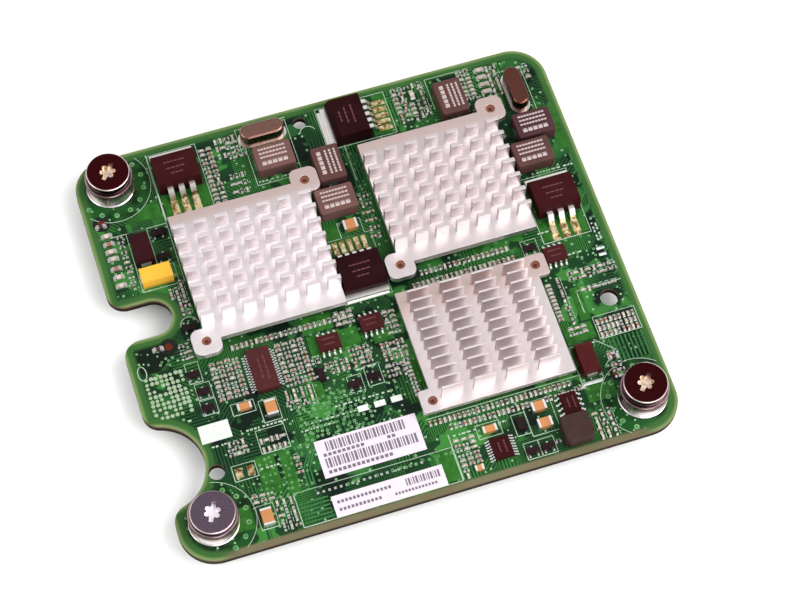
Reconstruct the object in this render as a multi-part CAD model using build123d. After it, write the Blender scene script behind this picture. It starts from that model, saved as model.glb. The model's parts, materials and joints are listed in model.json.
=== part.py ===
"""Mezzanine network card: a circuit board with three finned heat sinks and three captive screws.

X runs along the front edge to the right, Y to the rear, Z up. The origin is under the middle of
the board, on the mating face of the connector, which is the lowest point. Millimetres.
"""
from build123d import *
import math
import os

# Board outline
BOARD_W = 113.0
BOARD_D = 101.6
BOARD_T = 2.0
CORNER_R = 8.0
SLOT_BAY_HALF = 4.35         # half width of the upper bay in the left edge
SLOT_BAY_DEPTH = 12.75
SLOT_BAY_UP = 59.2           # its middle, up from the front edge
ROUND_BAY_R = 10.1           # radius of the lower bay
ROUND_BAY_UP = 23.8
BAY_LIP_R = 4.0              # rounding where a bay meets the edge

# Heights
CONNECTOR_H = 5.2
BOARD_TOP = CONNECTOR_H + BOARD_T
SEAT_GAP = 0.02              # air left between a seated piece and its neighbour

# Edges of the board, from which places are measured
LEFT, RIGHT = -BOARD_W / 2, BOARD_W / 2
FRONT, REAR = -BOARD_D / 2, BOARD_D / 2

# Strips that the heat sinks leave free
LEFT_STRIP = 17.95           # left of the left heat sink
MIDDLE_STRIP = 14.05         # between the left and the rear heat sink
RIGHT_STRIP = 16.6           # right of the rear heat sink
REAR_STRIP = 16.0            # behind the rear heat sink
REAR_LEFT_STRIP = 21.08      # behind the left heat sink
FRONT_LEFT_STRIP = 48.32     # in front of the left heat sink
FRONT_STRIP = 17.54          # in front of the front heat sink
FRONT_MIDDLE_STRIP = 60.75   # left of the front heat sink
FRONT_RIGHT_STRIP = 20.05    # right of the front heat sink

# Captive screws: x, y, how far it is pressed down at rest, and how far it is turned
SCREWS = {
    "rear_left": (LEFT + 8.05, REAR - 7.5, 0.0, 52),
    "front_left": (LEFT + 8.05, FRONT + 8.7, 1.2, 65),
    "front_right": (RIGHT - 7.55, FRONT + 8.7, 0.0, 48),
}
CAP_R = 4.9
CAP_TOP = 7.4                # top of the cap above the board
CAP_SKIRT_LOW = 3.3          # lower end of the cap's skirt above the board
CAP_WALL = 1.3
CAP_ROOF = 1.8
CAP_EDGE = 0.3
NECK_R = 1.3
THREAD_R = 1.75
THREAD_OUT = 2.9             # how far the thread stands out under the board
THREAD_TIP = 0.5
SLEEVE_R = 5.4
SLEEVE_H = 5.0
SLEEVE_PLAY = 0.1            # between cap and sleeve
FLANGE_R = 5.55
FLANGE_T = 0.5
FLOOR_T = 0.9
NECK_PLAY = 0.1              # between the neck and the ferrule's bore
FERRULE_SHANK_R = 3.2
PRESS_GAP = 0.03
STOP_GAP = 0.1               # from the thread's shoulder to the ferrule, which holds the screw in
SPRING_WIRE = 0.45
SPRING_R = 2.75
SPRING_TURNS = 4
SPRING_SEAT = 0.05
LOBE_R = 0.55
LOBE_AT = 1.25
RECESS_DEPTH = 1.2
SLOT_L = 4.6
SLOT_W = 0.95

# Heat sinks
EAR_HOLE_R = 1.05
PIN_SINK_W = (BOARD_W - LEFT_STRIP - MIDDLE_STRIP - RIGHT_STRIP) / 2
PIN_SINK_D = BOARD_D - REAR_LEFT_STRIP - FRONT_LEFT_STRIP
PIN_SINK_BASE = 1.8
PIN_FIN_H = 4.15
PIN_FIN_T = 0.95
PIN_FIN_PITCH = 3.76
PIN_FIN_LEDGE = 3.9          # bare base in front of and behind the fins
PIN_COLUMN_PITCH = 4.86
PIN_SLOT_W = 1.86
PIN_FIN_SHIFT = -0.3         # the fins sit a little to the front
PIN_EAR = 6.4
PIN_EAR_R = 1.8
PIN_SINKS = {
    "left": (LEFT + LEFT_STRIP + PIN_SINK_W / 2, REAR - REAR_LEFT_STRIP - PIN_SINK_D / 2),
    "rear": (RIGHT - RIGHT_STRIP - PIN_SINK_W / 2, REAR - REAR_STRIP - PIN_SINK_D / 2),
}
STRIP_SINK_W = BOARD_W - FRONT_MIDDLE_STRIP - FRONT_RIGHT_STRIP
STRIP_SINK_D = 29.6
STRIP_SINK_BASE = 1.4
STRIP_SINK_AT = (LEFT + FRONT_MIDDLE_STRIP + STRIP_SINK_W / 2, FRONT + FRONT_STRIP + STRIP_SINK_D / 2)
STRIP_FIN_H = 5.2
STRIP_FIN_T = 0.5
STRIP_FIN_PITCH = 2.415
STRIP_FIN_LEDGE = 2.4
STRIP_MARGIN_LEFT = 1.95     # bare base beside the fins
STRIP_MARGIN_RIGHT = 2.9
STRIP_COLUMN_PITCH = 7.45
STRIP_SLOT_W = 2.45
STRIP_EAR_OUT = 2.7
STRIP_EAR_D = 5.5
STRIP_EAR_R = 0.8
STRIP_HOLE_IN = 2.55

# Ball-grid chips and their thermal pads
CHIP_MARGIN = 2.6            # how far the heat sink stands over the chip
STRIP_CHIP_MARGIN = 1.3      # the same at the front heat sink's front and rear
CHIP_RIM = 1.5               # substrate round the chip's moulded cap
CHIP_SUBSTRATE_T = 0.6
CHIP_LIFT = 0.4              # the height of its solder balls
PIN_CHIP_TOP = 2.2
STRIP_CHIP_TOP = 2.0
PAD_T = 0.2

# The middle of the strip between the left and the rear heat sink
MIDDLE = LEFT + LEFT_STRIP + PIN_SINK_W + MIDDLE_STRIP / 2

# Locating holes: x, y, radius
LOCATING_HOLES = [
    (RIGHT - 6.1, FRONT + 33.6, 2.1),
    (LEFT + 11.8, FRONT + 19.6, 1.8),
    (MIDDLE - 3.2, REAR - 4.2, 1.55),
]

# Regulators: x, y of the body's middle, the side that the leads face, their number, pitch and width
FEW_COUNT = 3
MANY_COUNT = 5
REG_W = 10.0
REG_D = 8.4
REG_H = 4.4
REG_SHELF = 2.9              # where the upper slope of the moulding starts
REG_TAB_T = 1.3
REG_TAB_OUT = 1.3
REG_TAB_IN = 5.0
REG_LEAD_T = 0.5
REG_LEAD_Z = 2.5
REG_LEAD_FLAT = 0.8          # where the slope starts, out from the body
REG_LEAD_DOWN = 2.4          # where it ends
REG_LEAD_REACH = 4.8
REGULATORS = {
    "rear_left": (LEFT + 23.3, REAR - 8.7, "front", FEW_COUNT, 2.54, 1.3),
    "rear_middle": (MIDDLE + 7.4, REAR - 7.9, "right", MANY_COUNT, 1.7, 0.95),
    "middle": (MIDDLE - 1.6, FRONT + 55.2, "rear", MANY_COUNT, 1.7, 0.95),
    "right": (RIGHT - 9.7, REAR - 40.6, "front", FEW_COUNT, 2.54, 1.3),
}

# Power inductors: x, y and the side faced, drawn along X facing the front
COIL_L = 8.9
COIL_W = 6.4
COIL_H = 3.8
COIL_EDGE = 0.35
COIL_CLIP_W = 2.4
COIL_CLIP_T = 0.2
INDUCTORS = {
    "rear_left": (MIDDLE - 11.75, REAR - 12.5, "front"),
    "rear_middle": (MIDDLE - 0.45, REAR - 18.1, "right"),
    "middle": (MIDDLE - 1.55, REAR - 27.5, "front"),
    "rear_right": (RIGHT - 24.05, REAR - 9.8, "right"),
    "right_upper": (RIGHT - 8.1, REAR - 22.1, "front"),
    "right_lower": (RIGHT - 10.9, REAR - 29.3, "front"),
}
SQUARE_COIL_AT = (RIGHT - 24.2, FRONT + 5.1)
SQUARE_COIL_W = 6.5
SQUARE_COIL_D = 6.3
SQUARE_COIL_H = 3.5
SQUARE_COIL_EDGE = 0.8

# Metal-can crystals: x, y and the side faced
CAN_L = 10.4
CAN_W = 4.0
CAN_H = 4.0
CAN_EDGE = 0.7
CAN_BASE_L = 11.4
CAN_BASE_W = 4.7
CAN_BASE_T = 0.5
CRYSTALS = {
    "rear": (MIDDLE - 12.4, REAR - 5.0, "front"),
    "right": (RIGHT - 8.7, REAR - 11.6, "right"),
}

# Moulded tantalum capacitors: x, y and the side faced
TANTALUM_L = 7.0
TANTALUM_W = 4.3
TANTALUM_H = 2.9
TANTALUM_BEVEL = 0.3
TANTALUM_CLIP_W = 2.4
TANTALUM_CLIP_T = 0.15
TANTALUM_CLIP_H = 1.4
TANTALUM_GAP = 1.45          # from the front heat sink to the brown one
TANTALUMS = {
    "yellow": (LEFT + 11.95, REAR - 32.95, "front"),
    "purple": (LEFT + 10.6, REAR - 25.9, "right"),
    "brown": (STRIP_SINK_AT[0] + STRIP_SINK_W / 2 + TANTALUM_GAP + TANTALUM_W / 2, FRONT + 20.0, "right"),
}

# Chips with two rows of leads: body length along the rows, width, height, leads a side, pitch, lead width
LEAD_T = 0.18
LEAD_REACH = 1.05
LONG_COUNT = 14
MIDDLE_COUNT = 8
SHORT_COUNT = 4
LONG_CHIP = (10.2, 5.3, 1.9, LONG_COUNT, 0.65, 0.3)
SHORT_CHIP = (4.9, 3.9, 1.6, SHORT_COUNT, 1.27, 0.42)
FLAT_CHIP = (5.0, 4.4, 1.0, MIDDLE_COUNT, 0.65, 0.3)
CHIPS = {
    "chip_28_lead": (LEFT + 28.0, FRONT + 39.4, "right", LONG_CHIP),
    "chip_8_lead_left": (LEFT + 43.8, FRONT + 41.35, "front", SHORT_CHIP),
    "chip_8_lead_middle": (LEFT + 54.1, FRONT + 43.2, "front", SHORT_CHIP),
    "chip_8_lead_right": (RIGHT - 14.2, FRONT + 47.0, "front", SHORT_CHIP),
    "chip_8_lead_front": (RIGHT - 23.4, FRONT + 11.4, "right", SHORT_CHIP),
    "chip_16_lead": (RIGHT - 41.0, FRONT + 6.2, "right", FLAT_CHIP),
}

# Three-lead transistors: x, y and the side faced
SOT_L = 2.9
SOT_W = 1.5
SOT_H = 1.0
SOT_LEAD_W = 0.42
SOT_LEAD_REACH = 0.55
SOT_LEAD_PITCH = 0.95
TRANSISTORS = [
    (LEFT + 13.2, FRONT + 43.0, "front"), (LEFT + 14.2, FRONT + 38.5, "front"),
    (LEFT + 14.1, FRONT + 34.4, "front"), (LEFT + 15.5, FRONT + 54.4, "front"),
    (LEFT + 15.1, REAR - 22.2, "front"), (LEFT + 14.9, REAR - 28.4, "front"),
    (LEFT + 46.3, FRONT + 30.2, "front"), (LEFT + 50.9, FRONT + 30.8, "front"),
    (LEFT + 40.0, FRONT + 34.5, "right"), (RIGHT - 19.2, FRONT + 50.3, "front"),
    (RIGHT - 34.8, FRONT + 3.5, "front"), (RIGHT - 31.2, FRONT + 3.5, "front"),
]
DIODE_AT = (RIGHT - 35.2, FRONT + 10.2)
DIODE_L = 2.9
DIODE_W = 1.8
DIODE_H = 1.15

# Large ceramic capacitors: x, y, the side faced, length, width, height
CERAMIC_END = 0.5            # length of each metal end
CERAMICS = [
    (RIGHT - 30.2, FRONT + 12.9, "front", 3.2, 2.2, 1.5), (RIGHT - 30.2, FRONT + 8.8, "front", 3.2, 2.2, 1.5),
    (RIGHT - 42.1, FRONT + 11.1, "front", 3.2, 1.6, 1.2), (RIGHT - 47.1, FRONT + 3.2, "front", 2.0, 1.3, 1.0),
    (LEFT + 19.2, FRONT + 6.1, "right", 3.9, 2.5, 1.6), (LEFT + 21.7, FRONT + 32.3, "front", 3.2, 1.6, 1.2),
    (LEFT + 27.2, FRONT + 30.2, "right", 3.6, 2.5, 1.6), (MIDDLE - 0.1, REAR - 33.6, "front", 3.2, 2.5, 1.6),
]

# Connector on the underside
CONTACT_PITCH = 1.27
CONTACT_COLUMNS = 26
CONTACT_ROWS = 8
CONTACT_W = 0.55
CONTACT_T = 0.25
CONTACT_FIELD_GAP = 1.5      # from the outer contacts to the wall
CONNECTOR_WALL = 1.3
CONNECTOR_ROOF = 2.0
CONTACT_SHORT = 0.9          # how far the contacts end inside the mating face
CONNECTOR_AT = (LEFT + 43.8, FRONT + 10.6)
CONNECTOR_R = 1.0
KEY_W = 3.0
KEY_SHIFT = 2.0

# Stickers: left side, right side, y, depth
STICKER_T = 0.1
STICKERS = {
    "sticker_square": (LEFT + 33.6, RIGHT - 56.4, FRONT + 15.45, 8.9),
    "sticker_strip": (LEFT + 33.4, RIGHT - 54.6, FRONT + 4.2, 5.0),
}


def place(shape, x, y, turn=0.0, z=BOARD_TOP):
    """Turns a piece about Z and puts it on the board."""
    return Pos(x, y, z) * Rot(0, 0, turn) * shape


def faced(shape, x, y, side):
    """Puts a piece that is drawn facing the front on the board, facing that side."""
    return place(shape, x, y, 90 * ("front", "right", "rear", "left").index(side))


def block(length, width, low, high):
    """A box centred on X and Y between two heights."""
    return Pos(0, 0, (low + high) / 2) * Box(length, width, high - low)


def slab(sketch, low, high):
    """A flat outline made solid between two heights."""
    return extrude(Pos(0, 0, low) * sketch, high - low)


def bar(points, length):
    """A side view in Y and Z made solid along X, centred."""
    face = make_face(Polyline(*[(0, y, z) for y, z in points], close=True))
    return Pos(-length / 2, 0, 0) * extrude(face, length, dir=(1, 0, 0))


def strip_view(points, thickness):
    """The outline of a bent strip whose middle line runs through the points."""
    left, right = [], []
    for i, (y, z) in enumerate(points):
        before = points[max(i - 1, 0)]
        after = points[min(i + 1, len(points) - 1)]
        turn_in = math.atan2(z - before[1], y - before[0]) if i else None
        turn_out = math.atan2(after[1] - z, after[0] - y) if i < len(points) - 1 else turn_in
        turn_in = turn_out if turn_in is None else turn_in
        middle = (turn_in + turn_out) / 2
        reach = thickness / 2 / math.cos((turn_out - turn_in) / 2)
        left.append((y - reach * math.sin(middle), z + reach * math.cos(middle)))
        right.append((y + reach * math.sin(middle), z - reach * math.cos(middle)))
    return left + right[::-1]


def turned(points):
    """A half section in radius and height turned about Z."""
    return revolve(make_face(Polyline(*[(r, 0, z) for r, z in points], close=True)), Axis.Z)


def circuit_board():
    outline = Rectangle(BOARD_W, BOARD_D)
    outline = fillet(outline.vertices(), CORNER_R)
    slot_y = FRONT + SLOT_BAY_UP
    slot_end = LEFT + SLOT_BAY_DEPTH - SLOT_BAY_HALF
    bay_y = FRONT + ROUND_BAY_UP
    outline -= Pos((LEFT + slot_end) / 2, slot_y) * Rectangle(slot_end - LEFT, 2 * SLOT_BAY_HALF)
    outline -= Pos(slot_end, slot_y) * Circle(SLOT_BAY_HALF)
    outline -= Pos(LEFT, bay_y) * Circle(ROUND_BAY_R)
    lips = [v for v in outline.vertices()
            if abs(v.X - LEFT) < 0.01 and min(abs(v.Y - slot_y), abs(v.Y - bay_y)) < ROUND_BAY_R + 0.1]
    outline = fillet(lips, BAY_LIP_R)
    for x, y, radius in LOCATING_HOLES:
        outline -= Pos(x, y) * Circle(radius)
    for x, y, _, _ in SCREWS.values():
        outline -= Pos(x, y) * Circle(FERRULE_SHANK_R + PRESS_GAP)
    return slab(outline, BOARD_TOP - BOARD_T, BOARD_TOP)


def ferrule():
    """Flange and sleeve above the board, and a shank in the board whose bore holds the neck."""
    bore = NECK_R + NECK_PLAY
    inner = CAP_R + SLEEVE_PLAY
    return turned([
        (bore, FLOOR_T), (inner, FLOOR_T), (inner, SLEEVE_H), (SLEEVE_R - 0.12, SLEEVE_H),
        (SLEEVE_R, SLEEVE_H - 0.15), (SLEEVE_R, FLANGE_T + 0.3), (FLANGE_R, FLANGE_T), (FLANGE_R, 0),
        (FERRULE_SHANK_R, 0), (FERRULE_SHANK_R, -BOARD_T), (bore, -BOARD_T),
    ])


def drive_recess():
    """A six-lobe hole with a slot across it."""
    star = Circle(LOBE_AT)
    for k in range(6):
        angle = math.radians(60 * k)
        star += Pos(LOBE_AT * math.cos(angle), LOBE_AT * math.sin(angle)) * Circle(LOBE_R)
    star += Rectangle(SLOT_L, SLOT_W)
    return slab(star, CAP_TOP - RECESS_DEPTH, CAP_TOP + 1)


def captive_screw():
    """A hollow cap, a thin neck through the ferrule and the thicker thread below it."""
    inside = CAP_R - CAP_WALL
    ceiling = CAP_TOP - CAP_ROOF
    shoulder = -BOARD_T - STOP_GAP
    tip = -BOARD_T - THREAD_OUT
    body = turned([
        (0, CAP_TOP), (CAP_R - CAP_EDGE, CAP_TOP), (CAP_R, CAP_TOP - CAP_EDGE), (CAP_R, CAP_SKIRT_LOW),
        (inside, CAP_SKIRT_LOW), (inside, ceiling), (NECK_R, ceiling), (NECK_R, shoulder),
        (THREAD_R, shoulder), (THREAD_R, tip + THREAD_TIP), (THREAD_R - THREAD_TIP, tip), (0, tip),
    ])
    return body - drive_recess()


def spring(pressed):
    """A coil between the ferrule's floor and the roof inside the cap."""
    low = FLOOR_T + SPRING_SEAT + SPRING_WIRE / 2
    high = CAP_TOP - CAP_ROOF - pressed - SPRING_SEAT - SPRING_WIRE / 2
    path = Helix((high - low) / SPRING_TURNS, high - low, SPRING_R)
    wire = Plane(origin=path @ 0, z_dir=path % 0) * Circle(SPRING_WIRE / 2)
    return Pos(0, 0, low) * sweep(wire, path)


def ear_plate(side_x, side_y, ears, holes, ear_r, thickness):
    """A plate with ears, given as boxes, and drilled holes."""
    outline = Rectangle(side_x, side_y)
    for x, y, w, d in ears:
        ear = Rectangle(w, d)
        outline += Pos(x, y) * fillet(ear.vertices(), ear_r)
    for x, y in holes:
        outline -= Pos(x, y) * Circle(EAR_HOLE_R)
    return slab(outline, 0, thickness)


def cut_fins(length, rows, pitch, thickness, height, columns, slot, floor, shift):
    """Upright fins along X, cut into columns by slots along Y, and shifted in X and Y."""
    column = (length - (columns - 1) * slot) / columns
    fins = []
    for row in range(rows):
        y = (row - (rows - 1) / 2) * pitch
        for k in range(columns):
            x = (k - (columns - 1) / 2) * (column + slot)
            fins.append(Pos(x + shift[0], y + shift[1], floor + height / 2) * Box(column, thickness, height))
    return fins


def pin_heat_sink():
    half_w, half_d = PIN_SINK_W / 2, PIN_SINK_D / 2
    ears = [(half_w, half_d, PIN_EAR, PIN_EAR), (-half_w, -half_d, PIN_EAR, PIN_EAR)]
    holes = [(half_w, half_d), (-half_w, -half_d)]
    plate = ear_plate(PIN_SINK_W, PIN_SINK_D, ears, holes, PIN_EAR_R, PIN_SINK_BASE)
    rows = int((PIN_SINK_D - 2 * PIN_FIN_LEDGE) / PIN_FIN_PITCH) + 1
    columns = round((PIN_SINK_W + PIN_SLOT_W) / PIN_COLUMN_PITCH)
    fins = cut_fins(PIN_SINK_W, rows, PIN_FIN_PITCH, PIN_FIN_T, PIN_FIN_H,
                    columns, PIN_SLOT_W, PIN_SINK_BASE, (0, PIN_FIN_SHIFT))
    return plate.fuse(*fins)


def strip_heat_sink():
    half_w, half_d = STRIP_SINK_W / 2, STRIP_SINK_D / 2
    ear_w = 2 * STRIP_EAR_OUT
    ear_y = half_d - STRIP_EAR_D / 2
    ears = [(half_w, ear_y, ear_w, STRIP_EAR_D), (-half_w, -ear_y, ear_w, STRIP_EAR_D)]
    holes = [(half_w, half_d - STRIP_HOLE_IN), (-half_w, -half_d + STRIP_HOLE_IN)]
    plate = ear_plate(STRIP_SINK_W, STRIP_SINK_D, ears, holes, STRIP_EAR_R, STRIP_SINK_BASE)
    length = STRIP_SINK_W - STRIP_MARGIN_LEFT - STRIP_MARGIN_RIGHT
    shift = (STRIP_MARGIN_LEFT - STRIP_MARGIN_RIGHT) / 2
    rows = int((STRIP_SINK_D - 2 * STRIP_FIN_LEDGE) / STRIP_FIN_PITCH) + 1
    columns = round((length + STRIP_SLOT_W) / STRIP_COLUMN_PITCH)
    fins = cut_fins(length, rows, STRIP_FIN_PITCH, STRIP_FIN_T, STRIP_FIN_H,
                    columns, STRIP_SLOT_W, STRIP_SINK_BASE, (shift, 0))
    return plate.fuse(*fins)


def grid_chip(width, depth, top):
    """Substrate, above its solder balls, with a moulded cap."""
    cap_low = CHIP_LIFT + CHIP_SUBSTRATE_T
    substrate = block(width, depth, CHIP_LIFT, cap_low)
    return substrate + block(width - 2 * CHIP_RIM, depth - 2 * CHIP_RIM, cap_low, top)


def thermal_pad(width, depth, top):
    return block(width - 2 * CHIP_RIM, depth - 2 * CHIP_RIM, top, top + PAD_T)


def cooled_chips():
    """Each heat sink with the pad and the chip that it sits on."""
    parts = {}
    pin_chip = (PIN_SINK_W - 2 * CHIP_MARGIN, PIN_SINK_D - 2 * CHIP_MARGIN, PIN_CHIP_TOP)
    strip_chip = (STRIP_SINK_W - 2 * CHIP_MARGIN, STRIP_SINK_D - 2 * STRIP_CHIP_MARGIN, STRIP_CHIP_TOP)
    stacks = [(name, x, y, pin_heat_sink(), pin_chip) for name, (x, y) in PIN_SINKS.items()]
    stacks.append(("front", *STRIP_SINK_AT, strip_heat_sink(), strip_chip))
    for name, x, y, sink, chip in stacks:
        parts[f"heat_sink_{name}"] = place(sink, x, y, z=BOARD_TOP + chip[2] + PAD_T)
        parts[f"thermal_pad_{name}"] = place(thermal_pad(*chip), x, y)
        parts[f"grid_chip_{name}"] = place(grid_chip(*chip), x, y)
    return parts


def regulator_tab():
    """The metal plate under the body, wider where it stands out behind."""
    out = block(REG_W, REG_TAB_OUT, 0, REG_TAB_T)
    under = block(REG_W - 1.6, REG_TAB_IN, 0, REG_TAB_T)
    edge = REG_D / 2
    return Pos(0, edge + REG_TAB_OUT / 2, 0) * out + Pos(0, edge - REG_TAB_IN / 2, 0) * under


def regulator_body():
    edge = REG_D / 2
    view = [(-edge, 0.1), (-edge, REG_SHELF), (-edge + 0.3, REG_H), (edge - 1.0, REG_H),
            (edge, REG_SHELF), (edge, 0.1)]
    return bar(view, REG_W) - regulator_tab()


def regulator_frame(leads, pitch, lead_w):
    """Tab and bent leads: out of the body, down a slope and along the board."""
    edge = REG_D / 2
    half = REG_LEAD_T / 2
    line = [(-edge, REG_LEAD_Z), (-edge - REG_LEAD_FLAT, REG_LEAD_Z),
            (-edge - REG_LEAD_DOWN, half), (-edge - REG_LEAD_REACH, half)]
    lead = bar(strip_view(line, REG_LEAD_T), lead_w)
    pieces = [regulator_tab()]
    for k in range(leads):
        pieces.append(Pos((k - (leads - 1) / 2) * pitch, 0, 0) * lead)
    return Compound(children=pieces)


def inductor_body():
    body = block(COIL_L, COIL_W, 0.05, COIL_H)
    body = chamfer(body.edges().filter_by(Axis.Z), COIL_EDGE)
    return chamfer(body.faces().sort_by(Axis.Z)[-1].edges(), COIL_EDGE / 2) - inductor_clips()


def inductor_clips():
    """Metal feet let into both ends of the block."""
    clip = block(COIL_CLIP_T, COIL_CLIP_W, 0, COIL_H * 0.55)
    foot = Pos(-0.6, 0, 0) * block(1.4, COIL_CLIP_W, 0, COIL_CLIP_T)
    end = Pos(COIL_L / 2 - COIL_CLIP_T / 2, 0, 0) * (clip + foot)
    return Compound(children=[end, Rot(0, 0, 180) * end])


def square_inductor():
    body = block(SQUARE_COIL_W, SQUARE_COIL_D, 0, SQUARE_COIL_H)
    body = chamfer(body.edges().filter_by(Axis.Z), SQUARE_COIL_EDGE)
    return chamfer(body.faces().sort_by(Axis.Z)[-1].edges(), 0.25)


def crystal_base():
    return slab(SlotOverall(CAN_BASE_L, CAN_BASE_W), 0, CAN_BASE_T)


def crystal_can():
    can = slab(SlotOverall(CAN_L, CAN_W), CAN_BASE_T, CAN_H)
    return fillet(can.faces().sort_by(Axis.Z)[-1].edges(), CAN_EDGE)


def tantalum_body():
    half, mid = TANTALUM_W / 2, TANTALUM_H * 0.45
    view = [(-half + TANTALUM_BEVEL / 2, 0.1), (-half, mid), (-half + TANTALUM_BEVEL, TANTALUM_H),
            (half - TANTALUM_BEVEL, TANTALUM_H), (half, mid), (half - TANTALUM_BEVEL / 2, 0.1)]
    return bar(view, TANTALUM_L)


def tantalum_clips():
    """A metal strip down each end and in under the body."""
    clip = block(TANTALUM_CLIP_T, TANTALUM_CLIP_W, 0, TANTALUM_CLIP_H)
    foot = Pos(-0.6, 0, 0) * block(1.2, TANTALUM_CLIP_W, 0, 0.1 - SEAT_GAP)
    end = Pos(TANTALUM_L / 2 + TANTALUM_CLIP_T / 2, 0, 0) * (clip + foot)
    return Compound(children=[end, Rot(0, 0, 180) * end])


def chip_body(length, width, height):
    """A moulded body whose upper sides slope in."""
    half, mid, low = width / 2, height * 0.55, 0.12
    view = [(-half + 0.1, low), (-half, mid), (-half + 0.15, height),
            (half - 0.15, height), (half, mid), (half - 0.1, low)]
    return bar(view, length)


def chip_leads(width, height, count, pitch, lead_w):
    """Gull-wing leads along both long sides."""
    edge, mid, half = width / 2, height * 0.55, LEAD_T / 2
    line = [(-edge, mid), (-edge - 0.3, mid), (-edge - 0.5, half), (-edge - LEAD_REACH, half)]
    lead = bar(strip_view(line, LEAD_T), lead_w)
    pieces = []
    for k in range(count):
        one = Pos((k - (count - 1) / 2) * pitch, 0, 0) * lead
        pieces += [one, Rot(0, 0, 180) * one]
    return pieces


def transistor_leads():
    lead = block(SOT_LEAD_W, SOT_LEAD_REACH, 0, 0.2)
    y = SOT_W / 2 + SOT_LEAD_REACH / 2
    return [Pos(-SOT_LEAD_PITCH, -y, 0) * lead, Pos(SOT_LEAD_PITCH, -y, 0) * lead, Pos(0, y, 0) * lead]


def connector_size():
    field_w = (CONTACT_COLUMNS - 1) * CONTACT_PITCH + 2 * CONTACT_FIELD_GAP
    field_d = (CONTACT_ROWS - 1) * CONTACT_PITCH + 2 * CONTACT_FIELD_GAP
    return field_w, field_d


def connector_housing():
    """A shroud open below, with a key slot in each end wall."""
    field_w, field_d = connector_size()
    outer_w, outer_d = field_w + 2 * CONNECTOR_WALL, field_d + 2 * CONNECTOR_WALL
    outline = Rectangle(outer_w, outer_d)
    body = slab(fillet(outline.vertices(), CONNECTOR_R), 0, CONNECTOR_H)
    floor = CONNECTOR_H - CONNECTOR_ROOF
    body -= block(field_w, field_d, -1, floor)
    for side, shift in ((-1, KEY_SHIFT), (1, -KEY_SHIFT)):
        body -= Pos(side * outer_w / 2, shift, 0) * block(3 * CONNECTOR_WALL, KEY_W, -1, floor)
    return body


def connector_contacts():
    pin = block(CONTACT_T, CONTACT_W, CONTACT_SHORT, CONNECTOR_H - CONNECTOR_ROOF)
    pieces = []
    for i in range(CONTACT_COLUMNS):
        for j in range(CONTACT_ROWS):
            x = (i - (CONTACT_COLUMNS - 1) / 2) * CONTACT_PITCH
            y = (j - (CONTACT_ROWS - 1) / 2) * CONTACT_PITCH
            pieces.append(Pos(x, y, 0) * pin)
    return Compound(children=pieces)


def ceramic_capacitors():
    """Ceramic bodies, and the metal ends that close them."""
    bodies, ends = [], []
    for x, y, side, length, width, height in CERAMICS:
        inner = block(length - 2 * CERAMIC_END, width - 0.06, 0.03, height - 0.03)
        bodies.append(faced(inner, x, y, side))
        for way in (-1, 1):
            end = Pos(way * (length - CERAMIC_END) / 2, 0, 0) * block(CERAMIC_END, width, 0, height)
            ends.append(faced(end, x, y, side))
    return Compound(children=bodies), Compound(children=ends)


def build():
    parts = {"circuit_board": circuit_board()}

    for name, (x, y, pressed, turn) in SCREWS.items():
        parts[f"ferrule_{name}"] = place(ferrule(), x, y)
        parts[f"spring_{name}"] = place(spring(pressed), x, y)
        parts[f"captive_screw_{name}"] = place(captive_screw(), x, y, turn, BOARD_TOP - pressed)

    parts.update(cooled_chips())

    for name, (x, y, side, leads, pitch, lead_w) in REGULATORS.items():
        parts[f"regulator_body_{name}"] = faced(regulator_body(), x, y, side)
        parts[f"regulator_frame_{name}"] = faced(regulator_frame(leads, pitch, lead_w), x, y, side)

    clips = []
    for name, at in INDUCTORS.items():
        parts[f"inductor_{name}"] = faced(inductor_body(), *at)
        clips += faced(inductor_clips(), *at).solids()
    parts["inductor_terminals"] = Compound(children=clips)
    parts["square_inductor"] = place(square_inductor(), *SQUARE_COIL_AT)

    for name, at in CRYSTALS.items():
        parts[f"crystal_base_{name}"] = faced(crystal_base(), *at)
        parts[f"crystal_can_{name}"] = faced(crystal_can(), *at)

    clips = []
    for name, at in TANTALUMS.items():
        parts[f"tantalum_{name}"] = faced(tantalum_body(), *at)
        clips += faced(tantalum_clips(), *at).solids()
    parts["tantalum_terminals"] = Compound(children=clips)

    leads = []
    for name, (x, y, side, package) in CHIPS.items():
        parts[name] = faced(chip_body(*package[:3]), x, y, side)
        leads += [faced(lead, x, y, side) for lead in chip_leads(*package[1:])]
    parts["chip_leads"] = Compound(children=leads)

    bodies, leads = [], []
    for at in TRANSISTORS:
        bodies.append(faced(block(SOT_L, SOT_W, 0.05, SOT_H), *at))
        leads += [faced(lead, *at) for lead in transistor_leads()]
    bodies.append(place(block(DIODE_W, DIODE_L, 0.05, DIODE_H), *DIODE_AT))
    parts["transistor_bodies"] = Compound(children=bodies)
    parts["transistor_leads"] = Compound(children=leads)

    parts["ceramic_capacitors"], parts["ceramic_ends"] = ceramic_capacitors()

    parts["connector_housing"] = place(connector_housing(), *CONNECTOR_AT, z=0)
    parts["connector_contacts"] = place(connector_contacts(), *CONNECTOR_AT, z=0)

    for name, (left, right, y, depth) in STICKERS.items():
        parts[name] = place(block(right - left, depth, 0, STICKER_T), (left + right) / 2, y)
    return parts


def main():
    os.makedirs("parts", exist_ok=True)
    for name, shape in build().items():
        export_step(shape, f"parts/{name}.step")
        print(name, round(shape.volume, 1))


main()
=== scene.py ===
# %% [markdown]
# # A mezzanine network card
#
# The card is a green circuit board, about 113 mm by 102 mm, that lies flat over a server's main
# board. Three finned heat sinks cool its chips, three sprung screws hold it down, and several
# hundred tiny parts fill the rest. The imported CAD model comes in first, as a frame that isn't
# changed. All that follows gives it finishes and adds what is too small for the CAD model.

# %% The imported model
import bpy
import bmesh
import json
import math
import random
from functools import reduce
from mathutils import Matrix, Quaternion, Vector
from mathutils.bvhtree import BVHTree


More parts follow.
